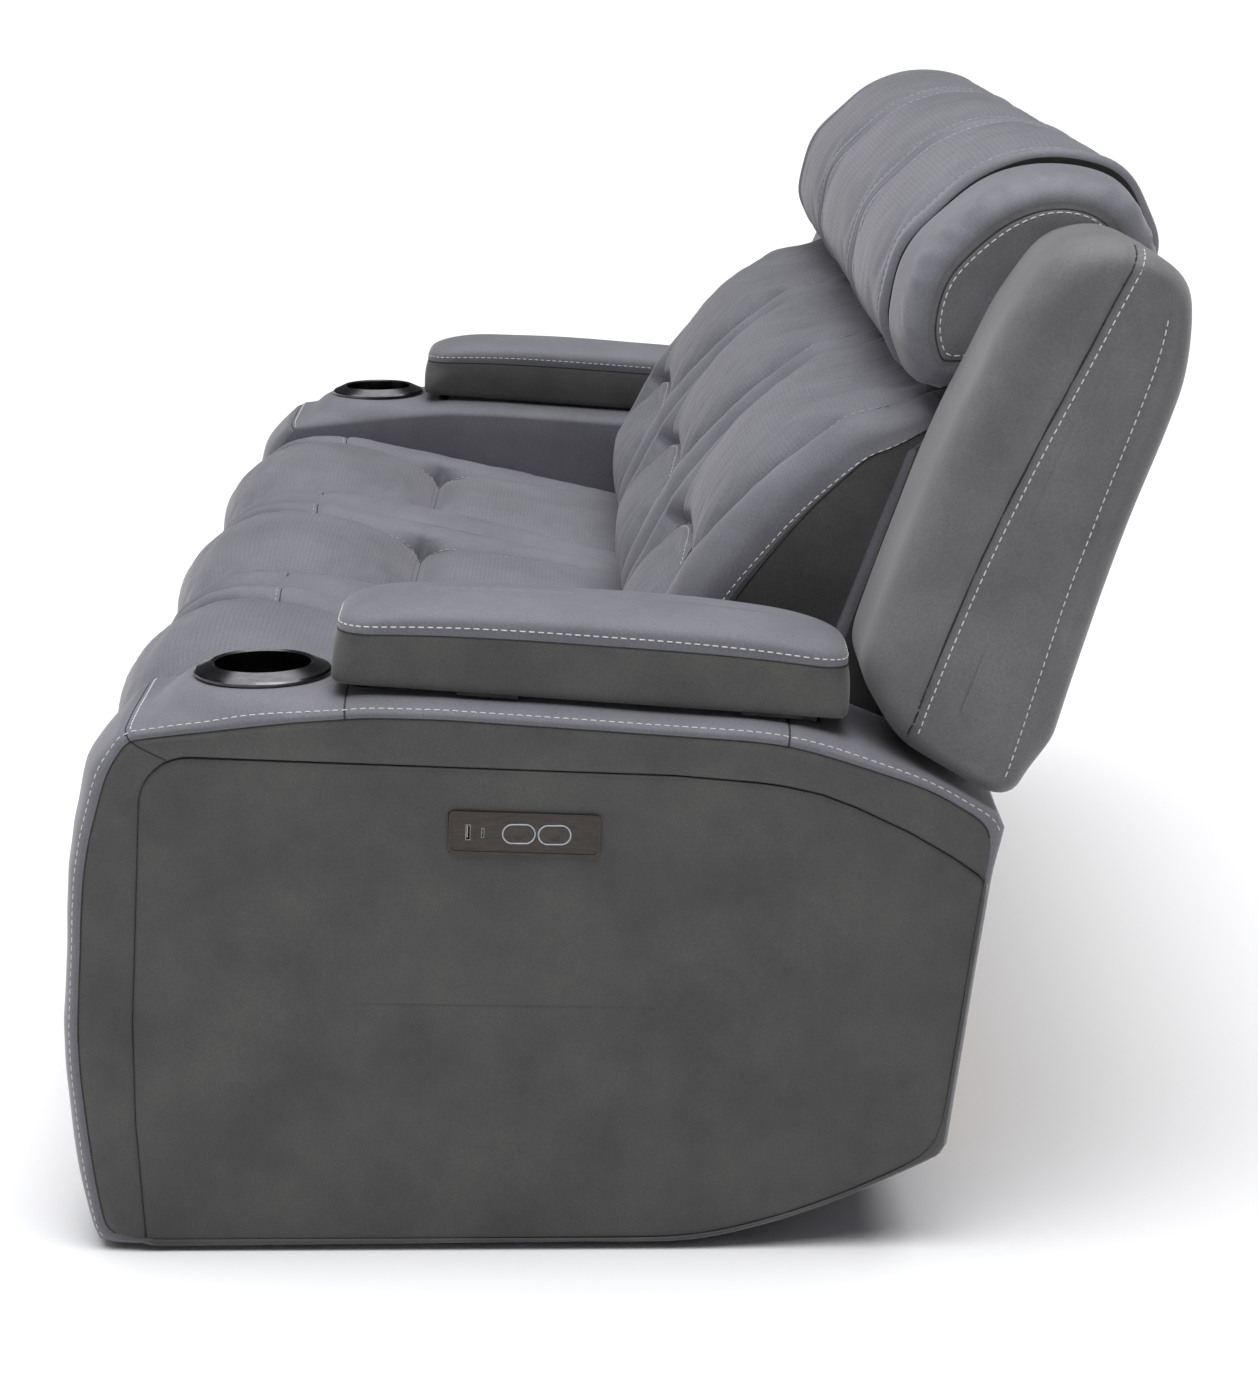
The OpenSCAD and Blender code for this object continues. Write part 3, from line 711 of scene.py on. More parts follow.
def seat_skin():
    """A seat cushion centred on X = 0: hourglass panel, tufted crease and plump side strips."""
    outline = Outline(face_loop("mid_seat_cushion", SEAT_HALF), (0.165, 0.398),
                      fine=((0.06, 0.44), (-0.52, 0.392)))
    crease, crown, front = (outline.arc_at(*p) for p in
                            ((-0.249, 0.502), (-0.398, 0.525), (-0.535, 0.44)))
    seam = through(outline.s, [0, 0.5 * crease, crease, crown, front, outline.length],
                   [0.198, 0.190, 0.150, 0.188, 0.205, 0.205])
    seam = np.clip(seam, 0.148, 0.21)
    nose = ease(outline.s, crease, front) * (1 - ease(outline.s, front + 0.1, front + 0.2))
    edge = 7 * MM + 22 * MM * nose
    skin = slab_skin(outline, -SEAT_HALF, SEAT_HALF,
                     seam_columns(-SEAT_HALF + 0.030, SEAT_HALF - 0.030, seam), 30 * MM, edge,
                     spine=((-0.44, 0.45), (0.10, 0.41)))
    across = np.abs(skin.x)
    off = across - seam
    s = skin.arc
    shown = ease(s, 0.03, 0.10) * (1 - ease(s, front + 0.10, front + 0.16))
    rear_part = hump(s / crease)
    front_part = hump((s - crease) / (front + 0.12 - crease))
    pillow = np.clip(1 - (across / seam) ** 2, 0, 1)
    strip = hump(off / (SEAT_HALF - seam))
    swell = -6 * MM + pillow * (9 * MM * rear_part + 30 * MM * front_part)
    swell += strip * (6 * MM + 9 * MM * front_part)
    skin.push(swell * shown * skin.top)
    held = bell(off, 7 * MM) + bell(s - crease, 10 * MM) * (off < 0)
    held = np.clip(held + (1 - shown) + (1 - skin.top), 0, 1)
    inflate(skin, 1 - held, 3.0, 8 * MM)
    tufted(skin, 0, seam, crease, 20 * MM, 40 * MM, 15 * MM)
    soft = ease(s, crown - 0.02, crown + 0.08)
    groove = -(7.5 * MM * (1 - 0.6 * soft) * bell(off, 3 * MM)
               + 5 * MM * (0.7 + soft) * bell(off, 14 * MM))
    cross = -4.5 * MM * bell(s - crown, 2.6 * MM) * ease(off, 0, 4 * MM)
    wrinkle = 0.7 * MM * waves(skin.x * 0.5, s * 2.2, 9, 0.05) * (0.3 + front_part * pillow)
    wrinkle += 1.6 * MM * waves(skin.x, s, 3, 0.16)
    skin.push((groove + cross + wrinkle) * shown * skin.top)
    return skin, outline, seam, (crease, crown, front)


def column_at(skin, x, i=0):
    """Fractional ring of a skin at X along its row i, away from the rounded ends."""
    inner = slice(ROUND_RINGS, -ROUND_RINGS)
    return np.interp(x, skin.x[inner, i], np.arange(len(skin.x))[inner])


def grid_places(skin, x_of, s_from, s_to):
    """Fractional grid places along a curve x = x_of(i) between two arc lengths."""
    arcs = skin.arc[0]
    chosen = np.flatnonzero((arcs >= min(s_from, s_to)) & (arcs <= max(s_from, s_to)))
    return np.array([column_at(skin, x_of[i], i) for i in chosen]), chosen


def seats():
    skin, outline, seam, (crease, crown, front) = seat_skin()
    middle_x = (skin.x[:-1] + skin.x[1:]) / 2
    panel = (np.abs(middle_x) < seam) & (skin.arc[:-1] < front + 0.08)
    first = skin.build("seat_cover_mid", [LEATHER, LEATHER_PERFORATED], panel.astype(int))
    thread = Thread()
    for side in (-1, 1):
        thread.on_grid(skin, *grid_places(skin, side * (seam + 5 * MM), 0.07, crown))
        row = np.argmin(np.abs(outline.s - crown))
        edge = np.linspace(seam[row] + 4 * MM, SEAT_HALF - 34 * MM, 16) * side
        ks = np.interp(np.sort(edge), skin.x[:, row], np.arange(len(skin.x)))
        thread.on_grid(skin, ks, row + 1.0)
        thread.on_grid(skin, ks, row, dark=True)
        thread.on_grid(skin, *grid_places(skin, side * seam, 0.05, front + 0.08), dark=True)
    row = np.argmin(np.abs(outline.s - crease))
    ks = np.flatnonzero(np.abs(skin.x[:, row]) < seam[row] - 4 * MM).astype(float)
    thread.on_grid(skin, ks, row, dark=True)
    sewn = thread.build("seat_stitches_mid", THREAD_DARK)
    place_mid_and_ends((first, sewn), "leather_seat", "mid_seat_cushion", "seat", "seat_cushion", 0.8)


# ---- backs ----


CREASE_ARCH = 30 * MM     # rise of a back's sewn crease between its tufts


def backs():
    """Back cushions: a hooded top, hourglass panel with tufts, and sloping side strips."""
    outline = Outline(face_loop("mid_back_cushion", SEAT_HALF), (0.272, 0.447),
                      fine=((0.32, 0.838), (0.03, 0.447)))
    # anticlockwise from the rear bottom corner: up the rear face, over the top, down the front
    top, crease, bottom = (outline.arc_at(*p) for p in ((0.300, 0.836), (0.052, 0.632), (0.0, 0.47)))
    seam = through(outline.s, [0, top, (top + crease) / 2, crease, bottom, outline.length],
                   [0.20, 0.205, 0.198, 0.150, 0.190, 0.195])
    seam = np.clip(seam, 0.145, 0.21)
    s = outline.s
    front = ease(s, top - 0.06, top + 0.03) * (1 - ease(s, bottom - 0.02, bottom + 0.04))
    edge = 8 * MM + 40 * MM * front * (1 - 0.7 * ease(s, crease + 0.05, bottom))
    skin = slab_skin(outline, -SEAT_HALF, SEAT_HALF,
                     seam_columns(-SEAT_HALF + 0.058, SEAT_HALF - 0.058, seam), 58 * MM, edge,
                     end_rings=(14, 14), spine=((0.20, 0.50), (0.30, 0.78)))
    across = np.abs(skin.x)
    off = across - seam
    arc = skin.arc
    upper = hump((arc - top) / (crease - top))
    lower = hump((arc - crease) / (bottom + 0.06 - crease))
    pillow = np.clip(1 - (across / seam) ** 2, 0, 1)
    strip = hump(off / (SEAT_HALF - seam))
    swell = -10 * MM + pillow * (16 * MM * upper + 14 * MM * lower)
    swell += strip * 8 * MM * (upper + 0.7 * lower)
    skin.push(swell * front * skin.top)
    held = bell(off, 8 * MM) + bell(arc - crease, 12 * MM) * (off < 0)
    held = np.clip(held + (1 - front) + (1 - skin.top), 0, 1)
    inflate(skin, 1 - held, 3.0, 9 * MM)
    arch = crease - CREASE_ARCH * np.clip(1 - (across / seam) ** 2, 0, 1)
    tufted(skin, 0, seam, arch, 18 * MM, 42 * MM, 18 * MM)
    groove = -8 * MM * bell(off, 3 * MM) - 6 * MM * bell(off, 15 * MM)
    wrinkle = 1.5 * MM * waves(skin.x, arc, 4, 0.15) + 0.6 * MM * waves(skin.x * 2, arc, 8, 0.05)
    pleats = np.sin(skin.x * 240 + 2 * waves(skin.x, arc, 6, 0.1))
    hood = -1.6 * MM * pleats * bell(arc - top - 0.03, 0.05) * pillow
    skin.push((groove + wrinkle + hood) * front * skin.top)
    rim = np.abs(skin.top - 0.02) < 0.09
    skin.push(np.where(rim & (front > 0.3), -3.0 * MM, 0))
    panel = (np.abs((skin.x[:-1] + skin.x[1:]) / 2) < seam) & (front > 0.2)
    # The cushion's ends and rear get the darker side leather: painted shade on faces turned away from
    # the overhead light.
    side_painted_shade = ((skin.top[:-1] < 0.05) | (front < 0.2)) * 2
    slots = np.where(panel, 1, side_painted_shade)
    first = skin.build("back_cover_mid", [LEATHER, LEATHER_PERFORATED, LEATHER_SIDE_SHADED], slots)
    inner, outer = Thread(), Thread()
    for side in (-1, 1):
        inner.on_grid(skin, *grid_places(skin, side * (seam - 6 * MM), top + 0.02, crease - 0.012))
        inner.on_grid(skin, *grid_places(skin, side * (seam - 6 * MM), crease + 0.02, bottom))
        inner.on_grid(skin, *grid_places(skin, side * seam, top - 0.01, bottom), dark=True)
        chosen = np.flatnonzero(front > 0.5)
        k = 13 if side < 0 else len(skin.x) - 14
        outer.on_grid(skin, k - 0.6 * side, chosen)
        outer.on_grid(skin, k + 0.6 * side, chosen, dark=True)
    narrow = seam[np.argmin(np.abs(s - crease))]
    ks = np.flatnonzero(across[:, 0] < narrow - 8 * MM)
    mid_arc = crease - CREASE_ARCH * (1 - (across[ks, 0] / narrow) ** 2)
    for lower, dark in ((7 * MM, False), (0, True)):
        inner.on_grid(skin, ks.astype(float), row_at(s, mid_arc + lower), dark=dark)
    sewn = inner.build("back_stitches_mid", THREAD_DARK)
    rims = outer.build("back_edge_stitches_mid")
    place_mid_and_ends((first, sewn, rims), "leather", "mid_back_cushion", "back", "back_cushion", 0.75)


# ---- head rolls ----


def roll(name, node, x0, x1):
    """One length of the head roll: piped ends, a seam near each end and a perforated middle."""
    outline = Outline(face_loop(node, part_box(node)[1].x), (0.45, 0.870), fine_step=7 * MM,
                      soften=22 * MM)
    seam_in = 46 * MM
    inner = np.linspace(x0 + 9 * MM, x1 - 9 * MM, int((x1 - x0) / (7 * MM)))
    extra = [x + d for x in (x0 + seam_in, x1 - seam_in) for d in (-4 * MM, -2 * MM, 0, 2 * MM, 4 * MM)]
    extra += [x + way * d * MM for x, way in ((x0, 1), (x1, -1)) for d in (15.5, 17, 19)]
    columns = np.unique(np.round(np.concatenate([inner, extra]), 5))
    skin = slab_skin(outline, x0, x1, columns, 8 * MM, 7 * MM, spine=((0.36, 0.93), (0.46, 1.02)))
    off = np.minimum(skin.x - x0, x1 - skin.x)
    half = (x1 - x0) / 2
    bulge = 5 * MM * hump((off - seam_in) / (2 * (half - seam_in)))
    rearward = ease(skin.grid[..., 1], 0.42, 0.50) * ease(skin.grid[..., 2], 0.84, 0.90)
    forward = 1 - ease(skin.grid[..., 1], 0.34, 0.42)
    skin.grid[..., 1] += 12 * MM * rearward - 7 * MM * forward
    skin.grid[..., 2] -= 9 * MM * ease(skin.grid[..., 2], 0.93, 1.04)
    skin.push((bulge + 1 * MM) * skin.top)
    held = np.clip(bell(off - seam_in, 7 * MM) + (off < 26 * MM) + (1 - skin.top), 0, 1)
    inflate(skin, 1 - held, 2.0, 5 * MM)
    amount = -3.0 * MM * bell(off - seam_in, 2.2 * MM) - 4.0 * MM * bell(off - 16.5 * MM, 1.8 * MM)
    amount += 2.4 * MM * bell(off - 9 * MM, 5 * MM)
    amount += 0.9 * MM * waves(skin.x * 0.6, skin.arc, 2, 0.10)
    amount += 0.5 * MM * waves(skin.x, skin.arc * 0.3, 12, 0.03)
    skin.push(amount * skin.top)
    mid = (skin.x[:-1] + skin.x[1:]) / 2
    panel = (np.minimum(mid - x0, x1 - mid) > seam_in) & (skin.top[:-1] > 0.5)
    # The end faces, in the gaps beside the next roll or the fixed band, get near-black painted shade so
    # each gap reads as a dark slot.
    slots = np.where(skin.top[:-1] + skin.top[1:] < 0.5, 2, panel)
    obj = skin.build(name, [LEATHER, LEATHER_PERFORATED, GAP_SHADE], slots)
    thread = Thread()
    places = np.arange(len(outline.s))
    for x in (x0 + seam_in - 5 * MM, x1 - seam_in + 5 * MM):
        thread.on_grid(skin, column_at(skin, x), places)
    loop = np.append(places, 0)
    for x in (x0 + seam_in, x1 - seam_in, x0 + 16.5 * MM, x1 - 16.5 * MM):
        thread.on_grid(skin, column_at(skin, x), loop, dark=True)
    return obj, thread.build(name.replace("cover", "stitches"), THREAD_DARK)


def head_rolls():
    lo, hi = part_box("headrest_cushion_r")
    for side, (cover, sewn) in both_sides(*roll("headrest_cover_r", "headrest_cushion_r", lo.x, hi.x)):
        place(cover, f"headrest_{side}", "leather", f"headrest_cushion_{side}", fill=0.9)
        place(sewn, f"headrest_{side}", "leather")
    lo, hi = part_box("mid_headrest")
    cover, sewn = roll("headrest_cover_mid", "mid_headrest", lo.x, hi.x)
    place(cover, "base", "leather", "mid_headrest", fill=0.9)
    place(sewn, "base", "leather")


# ---- wings ----


def wing():
    """The side bolster: front band, sewn seam, rear stitch line."""
    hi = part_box("wing_r")[1]
    outline = Outline(face_loop("wing_r", hi.x), (0.380, 0.470), fine_step=6 * MM, soften=34 * MM)
    x0 = SEAT_X + SEAT_HALF + 4 * MM
    s = outline.s
    crest, foot = outline.arc_at(0.50, 1.005), outline.arc_at(0.279, 0.524)
    front = ease(s, crest - 0.02, crest + 0.06) * (1 - ease(s, foot - 0.02, foot + 0.03))
    columns = np.arange(x0 + 22 * MM, hi.x - 43 * MM, 9 * MM)
    skin = slab_skin(outline, x0, hi.x, columns, 40 * MM, 15 * MM + 20 * MM * front, end_rings=(5, 16),
                     spine=((0.33, 0.56), (0.465, 0.93)), swell=(0, 3 * MM))
    seam = curve_path([(0.502, 1.030), (0.491, 0.998), (0.465, 0.945), (0.435, 0.885), (0.400, 0.815),
                       (0.348, 0.702), (0.306, 0.595), (0.283, 0.530)])
    back_edge = (s > outline.arc_at(0.395, 0.475)) & (s < outline.arc_at(0.54, 0.95))
    rear = outline.points[back_edge] - outline.normals[back_edge] * 17 * MM
    y = skin.grid[..., 1]
    outside = (skin.x > hi.x - 30 * MM).astype(float)
    behind = ease(s, 0.02, 0.08) * (1 - ease(s, crest - 0.16, crest - 0.02))
    skin.push((6 * MM + 14 * MM * behind) * ease(skin.top, -0.2, 0.5))
    face = 1 - ease(skin.top, -0.2, 0.5)
    skin.grid[..., 1] += 9 * MM * face * ease(y, 0.36, 0.46)
    y, z = skin.grid[..., 1], skin.grid[..., 2]
    skin.push(-4.2 * MM * bell(path_distance(seam, y, z), 3.0 * MM) * outside)
    skin.push(-1.0 * MM * bell(path_distance(rear, y, z), 4 * MM) * outside
              + 1.0 * MM * waves(y, z, 7, 0.16))
    # The wing gets the darker wing leather: painted shade on a face turned away from the overhead light.
    obj = skin.build("wing_cover_r", [LEATHER_WING_SHADED])
    thread = Thread()
    thread.on_side(obj, seam + np.array([7.5 * MM, -2.5 * MM]), hi.x + 0.1)
    thread.on_side(obj, seam, hi.x + 0.1, dark=True)
    thread.on_side(obj, rear, hi.x + 0.1)
    return obj, thread.build("wing_stitches_r")


def end_band():
    """The fixed end of the head roll: a tapering band and a sewn end face."""
    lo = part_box("wing_r")[0]
    outline = Outline(face_loop("wing_r", lo.x), (0.45, 0.880), fine_step=6 * MM, soften=22 * MM)
    x0, x1 = lo.x, SEAT_X + SEAT_HALF + 38 * MM
    columns = np.arange(x0 + 8 * MM, x1 - 34 * MM, 7 * MM)
    skin = slab_skin(outline, x0, x1, columns, 32 * MM, 24 * MM, end_rings=(4, 12),
                     spine=((0.36, 0.93), (0.45, 1.0)), swell=(0, 4 * MM), left_round=6 * MM)
    along = np.clip((skin.x - x0) / (x1 - x0), 0, 1)
    skin.push((11 * MM - 9 * MM * along) * skin.top)
    rearward = ease(skin.grid[..., 1], 0.42, 0.50) * ease(skin.grid[..., 2], 0.84, 0.90)
    skin.grid[..., 1] += 9 * MM * rearward * skin.top
    gathers = np.sin(skin.arc * 190 + 3 * waves(skin.x, skin.arc, 3, 0.08))
    skin.push((1.8 * MM * gathers * bell(along - 0.75, 0.2)
               + 1.0 * MM * waves(skin.x, skin.arc, 21, 0.09)) * skin.top)
    rim = bell(np.arange(len(skin.x)) - (len(skin.x) - 13.0), 1.0)[:, None]
    skin.push(-2.6 * MM * rim)
    # The outer end face gets the darker wing leather, painted shade. The first rings, the band's end
    # beside the head roll, get near-black painted shade so the gap reads as a dark slot.
    slots = np.zeros(skin.x[:-1].shape, int)
    slots[-13:] = 1
    slots[:6] = 2
    obj = skin.build("roll_end_r", [LEATHER, LEATHER_WING_SHADED, GAP_SHADE], slots)
    thread = Thread()
    places = np.arange(len(outline.s))
    thread.on_grid(skin, len(skin.x) - 11.3, places)
    thread.on_grid(skin, len(skin.x) - 12.6, np.append(places, 0), dark=True)
    return obj, thread.build("roll_end_stitches_r")


def wings():
    for side, (cover, sewn, band, band_sewn) in both_sides(*wing(), *end_band()):
        body = f"back_{side}"
        place(cover, body, "leather_side", f"wing_{side}", fill=0.9)
        place(sewn, body, "leather_side")
        place(band, body, "leather", fill=0.9)
        place(band_sewn, body, "leather")


# ---- arms ----


def matched(outline, other, centre):
    """Points of another star-shaped outline at the same angles about a centre."""
    def polar(p):
        d = p - centre
        return np.arctan2(d[:, 1], d[:, 0]), np.hypot(*d.T)
    angle, _ = polar(outline.points)
    a, r = polar(other.dense)
    order = np.argsort(a)
    radius = np.interp(angle, a[order], r[order], period=math.tau)
    return centre + np.stack([np.cos(angle), np.sin(angle)], 1) * radius[:, None]


def in_hole(points, bin_lo, bin_hi):
    """Whether points of the arm's leather lie over the storage bin or the cup."""
    x, y, z = points[..., 0], points[..., 1], points[..., 2]
    on_top = z > TOP_ABOVE
    tray = (x > bin_lo[0]) & (x < bin_hi[0]) & (y > bin_lo[1]) & (y < bin_hi[1])
    cup = np.hypot(x - CUP_X, y - CUP_Y) < CUP_CUT_R
    return on_top & (tray | cup)


def arm():
    """One arm: crowned top, border band, inset side panel, lined openings."""
    outline = Outline(face_loop("arm_cover_r", ARM_HI.x), (0.375, 0.43),
                      fine=((0.36, 0.46), (-0.55, 0.02)),
                      fine_step=6 * MM, coarse_step=14 * MM, soften=9 * MM)
    panel_line = Outline(face_loop("arm_side_panel_r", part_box("arm_side_panel_r")[1].x), (0.36, 0.39),
                         soften=4 * MM)
    bin_points = node_points("storage_bins", right=True)
    bin_lo, bin_hi = bin_points.min(0) - 1 * MM, bin_points.max(0) + 1 * MM
    for y in (bin_lo[1], bin_hi[1]):
        outline.snap(y, 0.56)
    x0, x1 = ARM_LO.x, ARM_HI.x
    columns = np.concatenate([np.linspace(x0 + 20 * MM, bin_lo[0], 5),
                              np.linspace(bin_lo[0], bin_hi[0], 22)[1:],
                              np.linspace(bin_hi[0], x1 - 20 * MM, 6)[1:]])
    skin = slab_skin(outline, x0, x1, columns, 19 * MM, 9 * MM, end_rings=(8, 2),
                     spine=((-0.35, 0.28), (0.2, 0.28)))
    s = skin.arc
    front, rear = outline.arc_at(-0.486, 0.543), outline.arc_at(0.30, 0.49)   # ends of the top
    crown = ease(s, rear - 0.02, rear + 0.10) * (1 - ease(s, front - 0.06, front + 0.01))
    across = np.clip((skin.x - x0) / (x1 - x0), 0, 1)
    dome = 1 - np.abs(2 * across - 1) ** 3
    y, z = skin.grid[..., 1], skin.grid[..., 2]
    lift = 12 * MM * dome * crown
    roll_front = ease(s, front - 0.02, front + 0.05) * (1 - ease(s, front + 0.53, front + 0.60))
    profile = MM * through(z, [0.0, 0.06, 0.18, 0.32, 0.45, 0.53, 0.6], [0, 6, 3, -6, 4, 15, 10])
    lift = lift + roll_front * (14 * MM * dome + profile * (0.6 + 0.4 * dome))
    skin.grid[..., 2] += lift * (1 - roll_front)
    skin.grid[..., 1] -= lift * roll_front
    seat_z = CUP_HI.z - 12.5 * MM      # the leather is level under the cup's flange
    near = (1 - ease(np.hypot(skin.x - CUP_X, y - CUP_Y), 72 * MM, 118 * MM)) * crown * skin.top
    skin.grid[..., 2] += (seat_z - skin.grid[..., 2]) * near
    skin.push(0.8 * MM * waves(skin.x, s, 31, 0.14) * skin.top)
    # the border band on the outer face, from the top edge in to the groove
    rim = skin.grid[-3, :, 1:]
    target = matched(outline, panel_line, ARM_FACE_MIDDLE)
    band = [skin.grid[:-2]]
    for f in np.linspace(0, 1, 10)[1:]:
        x = x1 + 2.2 * MM * math.sin(math.pi * f) - 2 * MM * f
        band.append(np.column_stack([np.full(len(rim), x), rim * (1 - f) + target * f])[None])
    for depth, inward in ((-3 * MM, 1.6 * MM), (-7 * MM, 2.6 * MM), (-11 * MM, 2.6 * MM)):
        way = ARM_FACE_MIDDLE - target
        way /= np.hypot(*way.T)[:, None]
        x = np.full(len(rim), x1 - 2 * MM + depth)
        band.append(np.column_stack([x, target + way * inward])[None])
    grid = np.concatenate(band)
    top = np.vstack([skin.top[:-2], np.zeros((12, len(rim)))])
    cover = Skin(grid, outline.s, top)
    return cover, outline, panel_line, (bin_lo, bin_hi), (front, rear), len(skin.top) - 2


def side_panel(panel_line):
    """The inset outer panel, softly padded, open behind the control plate."""
    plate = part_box("control_plate_r")
    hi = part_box("arm_side_panel_r")[1]
    points = panel_line.points
    middle = onto_segment(points, (-0.30, 0.26), (0.10, 0.26))
    rings = [(hi.x - 9 * MM, 1.5 * MM), (hi.x - 4 * MM, 1.8 * MM), (hi.x - 1.2 * MM, 3 * MM),
             (hi.x, 7 * MM)]
    way = middle - points
    way /= np.hypot(*way.T)[:, None]
    grid = [np.column_stack([np.full(len(points), x), points + way * inset]) for x, inset in rings]
    rim = grid[-1][:, 1:]
    for f in np.linspace(0, 0.985, 48)[1:]:
        grid.append(np.column_stack([np.full(len(points), hi.x), rim * (1 - f) + middle * f]))
    skin = Skin(np.array(grid), panel_line.s, np.zeros((len(grid), len(points))))
    y, z = skin.grid[..., 1], skin.grid[..., 2]
    plate_mid = (plate[0] + plate[1]) / 2
    by_plate = bell(y - plate_mid.y, 0.14) * bell(z - plate_mid.z, 0.07)
    padding = (0.9 * MM * waves(y, z, 17, 0.3) - 0.5 * MM) * (1 - by_plate) - 0.6 * MM * by_plate
    skin.grid[4:, :, 0] += padding[4:]
    centre = (skin.grid[:-1] + skin.grid[1:]) / 2
    margin = 5 * MM
    drop = ((centre[..., 1] > plate[0].y + margin) & (centre[..., 1] < plate[1].y - margin)
            & (centre[..., 2] > plate[0].z + margin) & (centre[..., 2] < plate[1].z - margin))
    # The panel gets the darker side leather: painted shade on a face turned away from the overhead
    # light.
    obj = skin.build("arm_panel_r", [LEATHER_SIDE_SHADED], ends=False, drop=drop)
    with edited(obj) as bm:
        inner = [e for e in bm.edges if e.is_boundary and e.verts[0].co.x > hi.x - 3 * MM
                 and abs(e.verts[0].co.z - 0.26) < 0.02 and e.calc_length() < 0.05]
        bmesh.ops.holes_fill(bm, edges=inner, sides=0)
    for p in obj.data.polygons:
        p.use_smooth = True
    return obj


def line_holes(obj, depth):
    """Turns the cut edges of a cover's top downwards, as its lining."""
    with edited(obj) as bm:
        edges = [e for e in bm.edges if e.is_boundary and min(v.co.z for v in e.verts) > TOP_ABOVE
                 and max(v.co.x for v in e.verts) < ARM_HI.x - 12 * MM]
        new = bmesh.ops.extrude_edge_only(bm, edges=edges)["geom"]
        moved = [v for v in new if isinstance(v, bmesh.types.BMVert)]
        bmesh.ops.translate(bm, vec=(0, 0, -depth), verts=moved)
        for f in bm.faces:
            f.smooth = True


def arms():
    skin, outline, panel_line, (bin_lo, bin_hi), (front, rear), edge_row = arm()
    s = outline.s
    ahead = np.roll(skin.grid, -1, 1)
    centre = (skin.grid[:-1] + skin.grid[1:] + ahead[:-1] + ahead[1:]) / 4
    drop = in_hole(centre, bin_lo, bin_hi)
    crown_part = (s > rear - 0.03) & (s < front + 0.6)
    # seams: top outer edge, front corner, two cross seams on the top and the mitre on the band
    row = edge_row - 1
    off_row = np.arange(len(skin.x))[:, None]
    edge_seam = bell(off_row - row, 0.8) * crown_part
    corner = bell(skin.arc - front, 2.4 * MM) * (off_row <= row)
    cross_places = ((-0.27, 0.567), (0.165, 0.538))
    cross = sum(bell(skin.arc - outline.arc_at(y, z), 2.0 * MM) for y, z in cross_places)
    cross = cross * (off_row <= row) * (off_row > row - 14)
    mitre_row = np.argmin(np.abs(s - front))
    mitre = bell(np.arange(len(s)) - mitre_row, 0.7)[None, :] * (off_row > row)
    skin.push(-2.4 * MM * edge_seam - 2.2 * MM * corner - 1.4 * MM * cross
              - 1.6 * MM * mitre * (off_row < len(skin.x) - 3))
    # The border band gets the darker side leather, painted shade. Its last rings, the groove down to the
    # inset panel, get the seam shadow colour: painted shade in the recess.
    side = (np.arange(len(skin.x) - 1)[:, None] >= row) * np.ones(len(s), int)
    side = np.where((np.arange(len(skin.x) - 1)[:, None] >= len(skin.x) - 3), 2, side)
    cover = skin.build("arm_cover_skin_r", [LEATHER, LEATHER_SIDE_SHADED, SEAM], side, drop=drop)
    line_holes(cover, 30 * MM)
    panel = side_panel(panel_line)
    thread = Thread()
    chosen = np.flatnonzero((s > rear - 0.10) & (s < front + 0.56))
    thread.on_grid(skin, row - 3.2, chosen)
    ks = np.arange(10, row - 1).astype(float)
    thread.on_grid(skin, ks, mitre_row - 1.1)
    ks = np.arange(9, row + 1).astype(float)
    thread.on_grid(skin, ks, mitre_row, dark=True)
    thread.on_grid(skin, row + 0.1, chosen, dark=True)
    for y, z in cross_places:
        ks = np.arange(row - 14, row + 1).astype(float)
        thread.on_grid(skin, ks, row_at(s, outline.arc_at(y, z)), dark=True)
    ks = np.arange(row, len(skin.x) - 3).astype(float)
    thread.on_grid(skin, ks, mitre_row, dark=True)
    for end, (casing, inset, sewn) in both_sides(cover, panel, thread.build("arm_stitches_r")):
        place(casing, "base", "leather", f"arm_cover_{end}", fill=0.9)
        place(inset, "base", "leather_side", f"arm_side_panel_{end}")
        place(sewn, "base", "leather")


# ---- lid pads ----


